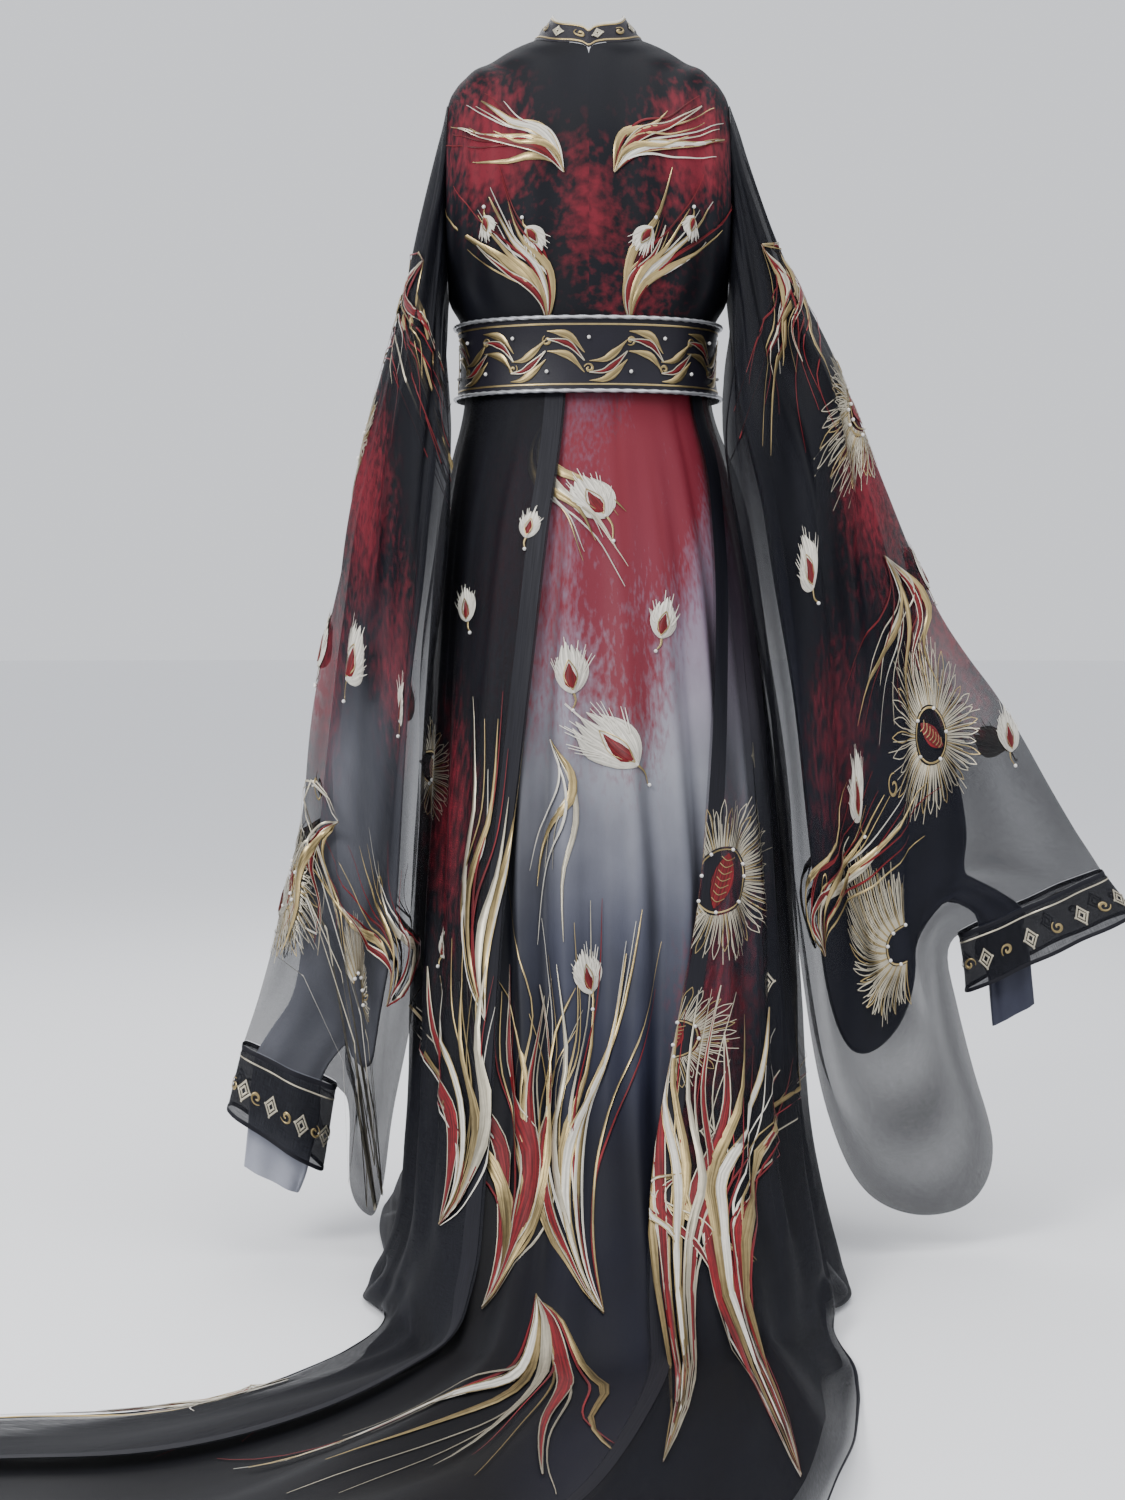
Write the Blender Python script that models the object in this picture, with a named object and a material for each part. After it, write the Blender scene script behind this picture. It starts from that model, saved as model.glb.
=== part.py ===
"""Hanfu robe with wide pouch sleeves, sash, two-layer skirt and train, hollow as it hangs when worn.

Metres, +Z up. The front faces -Y, the train runs to +Y and the wearer's left is +X.
Heights in the tables are above the floor; the finished robe hangs from its nape, which is the origin.
"""

import math
from collections import namedtuple

import bmesh
import bpy
import numpy as np

# Driving sizes
NAPE_HEIGHT = 1.48
CLOTH = 0.0016
SEAM_GAP = 0.0004
CREASE_LIMIT = 0.35
ARMHOLE_X = 0.175
WAIST_ROUNDNESS = 2.2
SASH_HEIGHT = 0.094
SASH_Z = 1.036
SASH_WALL = 0.0026
SASH_WIDTH_HALF = 0.1572
SASH_DEPTH_HALF = 0.1212
SASH_FLARE = 0.005
PIPING_RADIUS = 0.0024
COLLAR_WALL = 0.0022
COLLAR_WIDTH = 0.058
OVERLAP_DEPTH = 0.009

# Facets
FACETS_PER_FOLD = 4
VENT_COLUMNS = 13
SLEEVE_COLUMNS = 24
INNER_SLEEVE_COLUMNS = 14
BODICE_COLUMNS = 7
SASH_COLUMNS = 40

# One row for each level of the skirt: half width to the right and left, depth to front and back,
# and how square the back of the ring is.
Level = namedtuple("Level", "z right left front back square")
SKIRT_LEVELS = (
    Level(1.082, 0.1490, 0.1490, 0.1130, 0.1130, 2.2),
    Level(1.030, 0.1520, 0.1520, 0.1160, 0.1180, 2.2),
    Level(0.950, 0.1760, 0.1660, 0.1270, 0.1420, 2.2),
    Level(0.860, 0.1960, 0.1780, 0.1370, 0.1680, 2.3),
    Level(0.700, 0.2180, 0.1880, 0.1490, 0.2010, 2.4),
    Level(0.500, 0.2350, 0.1930, 0.1600, 0.2480, 2.5),
    Level(0.300, 0.2440, 0.1970, 0.1700, 0.3250, 2.8),
    Level(0.150, 0.2500, 0.2010, 0.1790, 0.4500, 3.1),
    Level(0.060, 0.2630, 0.2110, 0.1860, 0.6000, 3.4),
    Level(0.010, 0.2740, 0.2350, 0.1910, 0.7300, 3.6),
)

# Where the skirt's hem lies on the floor. The bearing is 0 behind the wearer, positive to the right.
Hem = namedtuple("Hem", "bearing x y run")
TRAIN_HEM = (
    Hem(-180.0, 0.000, -0.200, 0.0),
    Hem(-130.0, 0.165, -0.130, 0.0),
    Hem(-90.0, 0.236, 0.180, 0.0),
    Hem(-67.0, 0.218, 0.560, 0.0),
    Hem(-62.0, 0.228, 0.600, 0.4),
    Hem(-57.0, 0.242, 0.645, 0.9),
    Hem(-52.0, 0.274, 0.690, 1.0),
    Hem(-47.0, 0.350, 0.757, 1.0),
    Hem(-42.0, 0.500, 0.845, 1.0),
    Hem(-37.0, 0.710, 0.955, 1.0),
    Hem(-32.0, 0.920, 1.070, 1.0),
    Hem(-26.0, 0.965, 1.170, 1.0),
    Hem(-19.0, 0.910, 1.290, 1.0),
    Hem(-12.0, 0.750, 1.390, 1.0),
    Hem(-4.0, 0.500, 1.460, 1.0),
    Hem(8.0, 0.180, 1.440, 1.0),
    Hem(20.0, -0.060, 1.330, 1.0),
    Hem(30.0, -0.170, 1.170, 1.0),
    Hem(38.0, -0.222, 1.000, 1.0),
    Hem(45.0, -0.250, 0.830, 1.0),
    Hem(51.0, -0.262, 0.730, 1.0),
    Hem(57.0, -0.266, 0.660, 0.9),
    Hem(62.0, -0.262, 0.610, 0.4),
    Hem(67.0, -0.262, 0.570, 0.0),
    Hem(90.0, -0.264, 0.200, 0.0),
    Hem(130.0, -0.190, -0.120, 0.0),
    Hem(180.0, 0.000, -0.200, 0.0),
)

# One row for each skirt fold: the bearing of its crest and its depth at the hem.
Fold = namedtuple("Fold", "crest depth")
SKIRT_FOLDS = (
    Fold(-176.0, 0.008),
    Fold(-155.0, 0.009),
    Fold(-133.0, 0.009),
    Fold(-113.0, 0.008),
    Fold(-90.0, 0.009),
    Fold(-75.0, 0.010),
    Fold(-62.0, 0.008),
    Fold(-48.0, 0.007),
    Fold(-34.0, 0.009),
    Fold(-19.0, 0.012),
    Fold(-5.0, 0.010),
    Fold(9.0, 0.012),
    Fold(23.0, 0.010),
    Fold(36.0, 0.012),
    Fold(49.0, 0.011),
    Fold(62.0, 0.012),
    Fold(76.0, 0.009),
    Fold(94.0, 0.008),
    Fold(113.0, 0.008),
    Fold(131.0, 0.009),
    Fold(148.0, 0.009),
    Fold(166.0, 0.008),
)

# The back vent of the overskirt: the bearing of each panel's edge down the length of the cloth.
Vent = namedtuple("Vent", "down right left")
VENT_EDGES = (
    Vent(0.000, 52.0, -8.0),
    Vent(0.100, 50.0, -10.0),
    Vent(0.235, 40.0, -14.0),
    Vent(0.390, 28.0, -21.0),
    Vent(0.540, 17.0, -28.0),
    Vent(0.740, 8.0, -32.0),
    Vent(1.000, 5.0, -32.0),
)
OVERSKIRT_FRONT_EDGE = 198.0
VENT_REACH = 62.0

# The rows of facets down the skirt as shares of its cloth: down to the foot share it hangs, then it
# lies on the floor. The last one is at the overskirt's longer hem.
SKIRT_SHARES = (0.0, 0.042, 0.18, 0.30, 0.42, 0.54, 0.65, 0.74, 0.80, 0.87, 0.94, 1.0, 2.0)
TOP_SHARE = 0.18
TOP_LENGTH = 0.20
FOOT_SHARE = 0.74
FOOT_Z = 0.012
LEAST_FOOT = 0.045

# One row for each ring of a sleeve, from the armhole to the cuff's edge: where the ring lies at its
# outer edge (over the arm), at its middle and at its inner edge (the pouch), how far back the two
# edges are, and half the loft.
Ring = namedtuple("Ring", "at outer_x outer_z mid_x mid_z inner_x inner_z outer_y inner_y loft")
RIGHT_SLEEVE = (
    Ring(0.00, 0.175, 1.402, 0.175, 1.284, 0.175, 1.165, 0.000, 0.000, 0.068),
    Ring(0.08, 0.198, 1.335, 0.188, 1.208, 0.179, 1.080, 0.002, 0.058, 0.062),
    Ring(0.18, 0.242, 1.220, 0.208, 1.095, 0.166, 0.970, 0.010, 0.110, 0.055),
    Ring(0.30, 0.314, 1.077, 0.250, 0.950, 0.186, 0.830, 0.022, 0.138, 0.050),
    Ring(0.42, 0.366, 0.937, 0.283, 0.775, 0.223, 0.620, 0.035, 0.160, 0.046),
    Ring(0.52, 0.405, 0.838, 0.305, 0.605, 0.252, 0.380, 0.045, 0.174, 0.042),
    Ring(0.60, 0.440, 0.767, 0.318, 0.470, 0.289, 0.170, 0.052, 0.178, 0.038),
    Ring(0.66, 0.472, 0.718, 0.336, 0.400, 0.333, 0.075, 0.058, 0.174, 0.036),
    Ring(0.72, 0.506, 0.670, 0.358, 0.375, 0.400, 0.040, 0.064, 0.164, 0.034),
    Ring(0.78, 0.536, 0.620, 0.381, 0.375, 0.468, 0.055, 0.068, 0.150, 0.032),
    Ring(0.84, 0.566, 0.568, 0.401, 0.380, 0.493, 0.120, 0.072, 0.134, 0.030),
    Ring(0.90, 0.598, 0.514, 0.420, 0.400, 0.462, 0.240, 0.076, 0.118, 0.028),
    Ring(0.94, 0.617, 0.482, 0.462, 0.423, 0.440, 0.352, 0.078, 0.108, 0.027),
    Ring(0.97, 0.634, 0.454, 0.543, 0.416, 0.456, 0.378, 0.080, 0.100, 0.027),
)
RIGHT_CUFF = (
    Ring(0.97, 0.634, 0.454, 0.543, 0.416, 0.456, 0.378, 0.080, 0.100, 0.027),
    Ring(1.07, 0.678, 0.400, 0.568, 0.352, 0.466, 0.303, 0.084, 0.096, 0.032),
    Ring(1.17, 0.720, 0.346, 0.590, 0.286, 0.464, 0.214, 0.088, 0.092, 0.037),
)
LEFT_SLEEVE = (
    Ring(0.00, 0.175, 1.402, 0.175, 1.284, 0.175, 1.165, 0.000, 0.000, 0.068),
    Ring(0.08, 0.190, 1.330, 0.185, 1.205, 0.179, 1.080, 0.004, 0.058, 0.062),
    Ring(0.18, 0.222, 1.200, 0.199, 1.085, 0.169, 0.970, 0.016, 0.104, 0.055),
    Ring(0.30, 0.262, 1.045, 0.220, 0.938, 0.172, 0.830, 0.034, 0.138, 0.050),
    Ring(0.42, 0.294, 0.905, 0.242, 0.782, 0.191, 0.660, 0.056, 0.158, 0.046),
    Ring(0.52, 0.313, 0.790, 0.255, 0.635, 0.202, 0.480, 0.076, 0.174, 0.042),
    Ring(0.60, 0.328, 0.695, 0.262, 0.502, 0.211, 0.310, 0.094, 0.184, 0.038),
    Ring(0.68, 0.342, 0.605, 0.272, 0.388, 0.236, 0.170, 0.110, 0.192, 0.034),
    Ring(0.75, 0.352, 0.525, 0.276, 0.315, 0.248, 0.080, 0.124, 0.196, 0.032),
    Ring(0.82, 0.364, 0.448, 0.284, 0.277, 0.264, 0.048, 0.136, 0.198, 0.030),
    Ring(0.88, 0.380, 0.375, 0.292, 0.260, 0.288, 0.086, 0.146, 0.196, 0.028),
    Ring(0.93, 0.398, 0.312, 0.303, 0.256, 0.290, 0.182, 0.152, 0.188, 0.027),
    Ring(0.97, 0.418, 0.252, 0.361, 0.228, 0.304, 0.205, 0.156, 0.180, 0.027),
)
LEFT_CUFF = (
    Ring(0.97, 0.418, 0.252, 0.361, 0.228, 0.304, 0.205, 0.156, 0.180, 0.027),
    Ring(1.07, 0.438, 0.172, 0.380, 0.135, 0.322, 0.098, 0.160, 0.172, 0.032),
    Ring(1.17, 0.454, 0.096, 0.397, 0.072, 0.340, 0.048, 0.163, 0.168, 0.037),
)
# The narrow sleeve inside each wide one: how far down the wide sleeve's height its two edges lie, and
# its loft as a share of the room there.
Lining = namedtuple("Lining", "at top low loft")
RIGHT_INNER_SLEEVE = (
    Lining(0.00, 0.060, 0.840, 0.80),
    Lining(0.08, 0.090, 0.760, 0.66),
    Lining(0.18, 0.090, 0.760, 0.58),
    Lining(0.30, 0.080, 0.780, 0.56),
    Lining(0.45, 0.080, 0.790, 0.55),
    Lining(0.60, 0.100, 0.770, 0.52),
    Lining(0.72, 0.130, 0.710, 0.50),
    Lining(0.78, 0.160, 0.670, 0.50),
    Lining(0.84, 0.210, 0.620, 0.50),
    Lining(0.90, 0.300, 0.560, 0.50),
    Lining(0.94, 0.380, 0.550, 0.50),
    Lining(0.97, 0.520, 0.800, 0.50),
    Lining(1.07, 0.610, 0.850, 0.50),
    Lining(1.16, 0.640, 0.850, 0.50),
)
LEFT_INNER_SLEEVE = (
    Lining(0.00, 0.060, 0.840, 0.80),
    Lining(0.08, 0.090, 0.760, 0.66),
    Lining(0.18, 0.090, 0.760, 0.58),
    Lining(0.30, 0.080, 0.780, 0.56),
    Lining(0.45, 0.080, 0.790, 0.55),
    Lining(0.60, 0.100, 0.760, 0.52),
    Lining(0.72, 0.110, 0.700, 0.50),
    Lining(0.82, 0.120, 0.620, 0.50),
    Lining(0.88, 0.130, 0.570, 0.50),
    Lining(0.93, 0.140, 0.560, 0.50),
    Lining(0.97, 0.150, 0.800, 0.50),
    Lining(1.07, 0.230, 0.850, 0.50),
    Lining(1.14, 0.280, 0.850, 0.50),
)
INNER_CUFF_LINES = (1.02, 1.07, 1.14)
SLEEVE_SEAM = 0.97
CUFF_GAP = 0.0014
CUFF_END = 1.07
CUFF_ROWS = 2
SLEEVE_FOLD_PITCH = 0.072
SLEEVE_FOLD_DEPTH = 0.009

# One row for each level of a bodice half, from the back waist over the shoulder to the front waist:
# the point on its inner edge (centre back, neck, front edge) and on its outer edge (side, armhole).
Row = namedtuple("Row", "at in_x in_y in_z out_x out_y out_z")
BODICE = (
    Row(0.00, 0.000, 0.1165, 1.0824, 0.1520, 0.0006, 1.0824),
    Row(0.10, 0.000, 0.1215, 1.1350, 0.1585, 0.0008, 1.1300),
    Row(0.18, 0.000, 0.1280, 1.1900, 0.1740, 0.0040, 1.1600),
    Row(0.30, 0.000, 0.1310, 1.2800, 0.1750, 0.0600, 1.2200),
    Row(0.40, 0.000, 0.1180, 1.3750, 0.1750, 0.0680, 1.3000),
    Row(0.47, 0.000, 0.0760, 1.4600, 0.1750, 0.0500, 1.3650),
    Row(0.52, 0.046, 0.0560, 1.4720, 0.1750, 0.0270, 1.3930),
    Row(0.56, 0.068, 0.0150, 1.4820, 0.1750, 0.0000, 1.4020),
    Row(0.62, 0.066, -0.0300, 1.4600, 0.1750, -0.0330, 1.3880),
    Row(0.70, 0.048, -0.0700, 1.4130, 0.1750, -0.0620, 1.3300),
    Row(0.80, 0.012, -0.1060, 1.3230, 0.1750, -0.0600, 1.2350),
    Row(0.89, -0.022, -0.1220, 1.2130, 0.1740, -0.0040, 1.1600),
    Row(0.95, -0.044, -0.1170, 1.1450, 0.1585, -0.0008, 1.1300),
    Row(1.00, -0.060, -0.1100, 1.0824, 0.1520, -0.0006, 1.0824),
)
BODICE_FOLD_DEPTH = 0.0035
BODICE_FOLDS = 4.5

# The way the collar band stands from the neck edge, at levels of the same bodice rows.
Stand = namedtuple("Stand", "at x y z")
COLLAR_STAND = (
    Stand(0.47, 0.00, -0.12, 0.42),
    Stand(0.52, -0.15, -0.10, 0.46),
    Stand(0.56, -0.42, 0.02, 0.52),
    Stand(0.62, -0.72, 0.12, 0.50),
    Stand(0.70, -0.86, 0.16, 0.42),
    Stand(0.80, -0.90, 0.08, 0.36),
    Stand(0.90, -0.90, 0.12, 0.30),
    Stand(1.00, -0.86, 0.42, 0.26),
)
BODICE_LINES = (
    0.00, 0.05, 0.10, 0.18, 0.24, 0.30, 0.36, 0.42, 0.47, 0.52, 0.56,
    0.62, 0.66, 0.70, 0.75, 0.80, 0.845, 0.89, 0.95, 0.975, 1.00,
)
COLLAR_LINES = BODICE_LINES[8:-1]
ARMHOLE_LINES = (0.2, 0.87)


def column(rows, name):
    return np.array([getattr(row, name) for row in rows])


def through(rows, key, name, at):
    """The named column as a smooth curve through its rows, read at the places at."""
    knots = column(rows, key)
    values = column(rows, name)
    at = np.clip(np.asarray(at, float), knots[0], knots[-1])
    slopes = np.gradient(values, knots)
    left = np.clip(np.searchsorted(knots, at, side="right") - 1, 0, len(knots) - 2)
    span = knots[left + 1] - knots[left]
    s = (at - knots[left]) / span
    start = (1 + 2 * s) * (1 - s) ** 2 * values[left] + s * (1 - s) ** 2 * span * slopes[left]
    end = s**2 * (3 - 2 * s) * values[left + 1] - s**2 * (1 - s) * span * slopes[left + 1]
    return start + end


def smooth_step(value):
    value = np.clip(value, 0.0, 1.0)
    return value * value * (3 - 2 * value)


def power(value, exponent):
    """The signed power that turns a circle into a squarer ring."""
    return np.sign(value) * np.abs(value) ** exponent


def fold_wave(bearing):
    """Height of the skirt's folds at a bearing: each crest stands out by its own depth."""
    crests = column(SKIRT_FOLDS, "crest")
    depths = column(SKIRT_FOLDS, "depth")
    around = np.concatenate([crests - 360, crests, crests + 360])
    phase = np.interp(bearing, around, np.arange(len(around)))
    depth = np.interp(bearing, around, np.tile(depths, 3))
    return depth * np.cos(2 * math.pi * phase)


def fold_bearings():
    """Bearings of the facets round the skirt, so that each fold has the same number of them."""
    crests = column(SKIRT_FOLDS, "crest")
    around = np.append(crests, crests[0] + 360)
    steps = np.arange(len(crests) * FACETS_PER_FOLD + 1) / FACETS_PER_FOLD
    return np.interp(steps, np.arange(len(around)), around)


skirt_lines = {}
HANG_STEPS = 40
FLOOR_STEPS = 24
LEFT_SPREAD = 0.7
RIGHT_SPREAD = 0.3
CORNER = 52.0
BACK_DRAW = 0.35
FLOOR_TURN = 0.14
BACK_TURN = 0.20


def turned_back(bearing, z):
    """The bearing of a line of cloth at the heights z: low down the lines draw together to the back."""
    drawn = 1 + BACK_DRAW * smooth_step((0.5 - z) / 0.44)
    if abs(bearing) >= 90:
        return np.full(np.shape(z), bearing)
    return math.copysign(90.0, bearing) * (abs(bearing) / 90) ** drawn


def skirt_line(bearing):
    """One line of skirt cloth at a bearing, from the waist down to the floor and along it to the hem."""
    bearing = (bearing + 180) % 360 - 180
    z = np.linspace(SKIRT_LEVELS[0].z, SKIRT_LEVELS[-1].z, HANG_STEPS)
    rows = SKIRT_LEVELS[::-1]
    angle = np.radians(turned_back(bearing, z))
    square = through(rows, "z", "square", z) if abs(bearing) < 90 else np.full(len(z), WAIST_ROUNDNESS)
    blend = smooth_step((110 - abs(bearing)) / 40)
    square = WAIST_ROUNDNESS + (square - WAIST_ROUNDNESS) * blend
    half = through(rows, "z", "right" if bearing > 0 else "left", z)
    depth = through(rows, "z", "back" if abs(bearing) < 90 else "front", z)
    x = -half * power(np.sin(angle), 2 / square)
    y = depth * power(np.cos(angle), 2 / square)
    run = np.linspace(0, 1, FLOOR_STEPS)[1:]
    reach = float(through(TRAIN_HEM, "bearing", "run", bearing))
    hem_x = float(through(TRAIN_HEM, "bearing", "x", bearing))
    hem_y = float(through(TRAIN_HEM, "bearing", "y", bearing))
    step = np.array([hem_x - x[-1], hem_y - y[-1]]) * reach
    spread = LEFT_SPREAD if bearing < 0 else RIGHT_SPREAD
    away = np.array([-math.sin(angle[-1]) * spread, math.cos(angle[-1])])
    bow = away / np.linalg.norm(away) * np.linalg.norm(step) / 2
    floor_x = x[-1] + bow[0] * 2 * run * (1 - run) + step[0] * run**2
    floor_y = y[-1] + bow[1] * 2 * run * (1 - run) + step[1] * run**2
    floor_z = z[-1] * (1 - run) ** 2
    line = np.stack(
        [np.append(x, floor_x), np.append(y, floor_y), np.append(z, floor_z)], axis=1
    )
    steps = np.linalg.norm(np.diff(line, axis=0), axis=1)
    keep = np.append(True, steps > 1e-5)
    return line[keep]


def at_length(line, length):
    """The point on a line of cloth at a length from its start."""
    steps = np.linalg.norm(np.diff(line, axis=0), axis=1)
    along = np.append(0, np.cumsum(steps))
    return np.array([np.interp(length, along, line[:, k]) for k in range(3)])


def line_length(line):
    return float(np.linalg.norm(np.diff(line, axis=0), axis=1).sum())


def hem_allowance(bearing):
    """How much longer the overskirt is than the underskirt: little in front, more on the train."""
    return 0.018 + 0.085 * float(smooth_step((58 - abs(bearing)) / 16))


def corner(bearing, share):
    """1 where the hem turns from hanging to lying at either side, so the cloth is kept plain there."""
    beside = 1 - float(smooth_step((abs(abs(bearing) - CORNER) - 8) / 10))
    return beside * float(smooth_step((share - 0.55) / 0.3))


def skirt_base(bearing, share):
    """A point of the skirt's smooth form. The share runs to 1 at the underskirt's hem, 2 at the
    overskirt's."""
    bearing = round((bearing + 180) % 360 - 180, 4)
    if bearing not in skirt_lines:
        line = skirt_line(bearing)
        hanging = line[line[:, 2] > FOOT_Z]
        skirt_lines[bearing] = (line, line_length(line), line_length(hanging))
    line, full, foot = skirt_lines[bearing]
    under = full - hem_allowance(bearing)
    foot = min(foot, under - LEAST_FOOT)
    length = np.interp(share, (0, TOP_SHARE, FOOT_SHARE, 1, 2), (0, TOP_LENGTH, foot, under, full))
    return at_length(line, length)


def skirt_facing(bearing, share):
    """The way the skirt's cloth faces: outward where it hangs, upward where it lies on the floor."""
    bearing = (bearing + 180) % 360 - 180
    z = skirt_base(bearing, share)[2]
    rows = SKIRT_LEVELS[::-1]
    level = max(z, rows[0].z)
    half = float(through(rows, "z", "right" if bearing > 0 else "left", level))
    depth = float(through(rows, "z", "back" if abs(bearing) < 90 else "front", level))
    angle = math.radians(float(turned_back(bearing, np.array(level))))
    outward = np.array([-math.sin(angle) / half, math.cos(angle) / depth, 0.0])
    outward = outward / np.linalg.norm(outward)
    turn = FLOOR_TURN + BACK_TURN * float(smooth_step((45 - abs(bearing)) / 30))
    up = float(smooth_step((turn - z) / turn)) * float(smooth_step((78 - abs(bearing)) / 24))
    facing = (1 - up) * outward + up * np.array([0.0, 0.0, 1.0])
    return facing / np.linalg.norm(facing)


def skirt_point(bearing, share, clearance, folded=1.0):
    """A point of a skirt at a bearing: clearance is how far it lies outside the underskirt."""
    bearing = (bearing + 180) % 360 - 180
    here = skirt_base(bearing, share)
    facing = skirt_facing(bearing, share)
    flat = float(smooth_step((facing[2] - 0.35) / 0.5))
    grown = float(smooth_step((1.06 - here[2]) / 0.75))
    wave = float(fold_wave(bearing))
    top = max(abs(wave), 0.010)
    plain = corner(bearing, share)
    fold = (1 - plain) * grown * ((1 - flat) * folded * wave + flat * (folded * wave + top) * 0.5)
    lift = clearance * (1 - 0.25 * flat) * (1 - 0.5 * plain)
    place = here + facing * (fold + lift)
    place[2] = max(place[2], CLOTH + lift * flat)
    return place


def over_point(bearing, share, clearance, folded):
    """A point of the overskirt, which follows the facets of the underskirt below it."""
    ring = fold_bearings()
    turned = (bearing - ring[0]) % 360 + ring[0]
    left = int(np.clip(np.searchsorted(ring, turned + 1e-6, side="right") - 1, 0, len(ring) - 2))
    part = (turned - ring[left]) / (ring[left + 1] - ring[left])
    near = skirt_point(ring[left], share, clearance, folded)
    far = skirt_point(ring[left + 1], share, clearance, folded)
    return near + (far - near) * part


def overskirt_clearance(share, bearing):
    """The overskirt hugs the underskirt at the waist and stands off it lower down, and the left front
    lies over the right."""
    away = 0.0024 + 0.0075 * float(smooth_step((share - 0.03) / 0.15))
    away += 0.006 * float(smooth_step((share - 0.2) / 0.5))
    settles = float(smooth_step((share - 1.0) / 0.6)) * float(smooth_step((56 - abs(bearing)) / 10))
    over = 0.005 * float(smooth_step((-bearing - 140) / 18))
    return away * (1 - settles) + over


def loft_shape(across):
    """How the two layers of a sleeve part between its outer edge (0) and its inner edge (1)."""
    shifted = across**0.8
    return (1 - np.abs(2 * shifted - 1) ** 2.6) ** (1 / 2.6)


def ring_point(rings, at, down):
    """A point halfway between the two layers of a sleeve: down is 0 at its outer edge, 1 at its inner."""
    get = {name: float(through(rings, "at", name, at)) for name in Ring._fields[1:]}
    weights = ((1 - down) * (1 - 2 * down), 4 * down * (1 - down), down * (2 * down - 1))
    x = sum(w * get[f"{part}_x"] for w, part in zip(weights, ("outer", "mid", "inner")))
    z = sum(w * get[f"{part}_z"] for w, part in zip(weights, ("outer", "mid", "inner")))
    y = get["outer_y"] + (get["inner_y"] - get["outer_y"]) * down
    return x, y, z, get["loft"]


def sleeve_point(rings, side, at, turn, fold_depth):
    """A point of a sleeve. Turn 0 is the outer edge, a half is the inner edge, and the back comes first."""
    across = 2 * turn if turn <= 0.5 else 2 - 2 * turn
    across = 0.45 * across + 0.55 * (0.5 - 0.5 * math.cos(math.pi * across))
    facing = 1 if turn <= 0.5 else -1
    x, y, z, loft = ring_point(rings, at, across)
    shape = float(loft_shape(np.array(across)))
    grown = float(smooth_step(at / 0.25)) * (1 - 0.6 * float(smooth_step((at - 0.85) / 0.12)))
    wave = math.cos(2 * math.pi * x / SLEEVE_FOLD_PITCH + (0.6 if facing > 0 else 2.4))
    y += facing * shape * loft + fold_depth * grown * shape * wave
    return (x * side, y, z)


def inner_sleeve_point(sleeve, cuff, lining, side, at, turn):
    """A point of the narrow sleeve, which lies in the hollow of the wide one."""
    across = 2 * turn if turn <= 0.5 else 2 - 2 * turn
    facing = 1 if turn <= 0.5 else -1
    top, low, share = (float(through(lining, "at", name, at)) for name in ("top", "low", "loft"))
    down = top + (low - top) * (0.5 - 0.5 * math.cos(math.pi * across))
    x, y, z, loft = ring_point(sleeve if at <= SLEEVE_SEAM else cuff, at, down)
    room = loft - SLEEVE_FOLD_DEPTH * float(smooth_step(at / 0.25))
    puff = (1 - abs(2 * across - 1) ** 2.4) ** (1 / 2.4)
    y += facing * room * share * float(loft_shape(down)) * puff
    return (x * side, y, z)


def bodice_point(side, across, at, inset):
    """A point of a bodice half. Across is 0 at its inner edge and 1 at the armhole or side seam."""
    inner = [float(through(BODICE, "at", name, at)) for name in ("in_x", "in_y", "in_z")]
    outer = [float(through(BODICE, "at", name, at)) for name in ("out_x", "out_y", "out_z")]
    inner[0] = max(inner[0], 0.0) if at < 0.5 else inner[0]
    outer[0] = min(outer[0], ARMHOLE_X)
    toward = math.sin(across * math.pi / 2) ** (2 / WAIST_ROUNDNESS)
    x = inner[0] + (outer[0] - inner[0]) * toward
    round_here = max(1 - abs(x / outer[0]) ** WAIST_ROUNDNESS, 0.0) ** (1 / WAIST_ROUNDNESS)
    round_inner = (1 - abs(inner[0] / outer[0]) ** WAIST_ROUNDNESS) ** (1 / WAIST_ROUNDNESS)
    y = outer[1] + (inner[1] - outer[1]) * round_here / round_inner
    z = inner[2] + (outer[2] - inner[2]) * across
    folds = math.sin(math.pi * across) * (1 - float(smooth_step((abs(at - 0.5) - 0.32) / 0.1)))
    folds *= 1 - 0.6 * float(smooth_step((at - 0.5) / 0.1))
    y += BODICE_FOLD_DEPTH * folds * math.cos(2 * math.pi * BODICE_FOLDS * across)
    y += inset * float(smooth_step((at - 0.56) / 0.16)) * float(smooth_step((1 - across) / 0.35))
    return ((x - SEAM_GAP / 2 * across) * side, y, z)


def unit(vectors):
    return vectors / np.maximum(np.linalg.norm(vectors, axis=-1, keepdims=True), 1e-9)


def wall_directions(grid, closed, upright):
    """The way the wall grows at each point of a grid, longer at the creases of a tube so that the wall
    keeps its thickness. At an upright edge it stays in the seam's plane."""
    along = np.gradient(grid, axis=0)
    if not closed:
        normals = unit(np.cross(np.gradient(grid, axis=1), along))
        for row, across in upright:
            normals[row, across, 0] = 0.0
        return unit(normals)
    ahead = np.roll(grid, -1, axis=1) - grid
    behind = grid - np.roll(grid, 1, axis=1)
    normals = unit(unit(np.cross(ahead, along)) + unit(np.cross(behind, along)))
    for row, across in upright:
        normals[row, across, 0] = 0.0
    normals = unit(normals)
    lean = (normals * unit(np.cross(ahead, along))).sum(axis=-1, keepdims=True)
    return normals / np.clip(lean, CREASE_LIMIT, 1.0)


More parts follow.
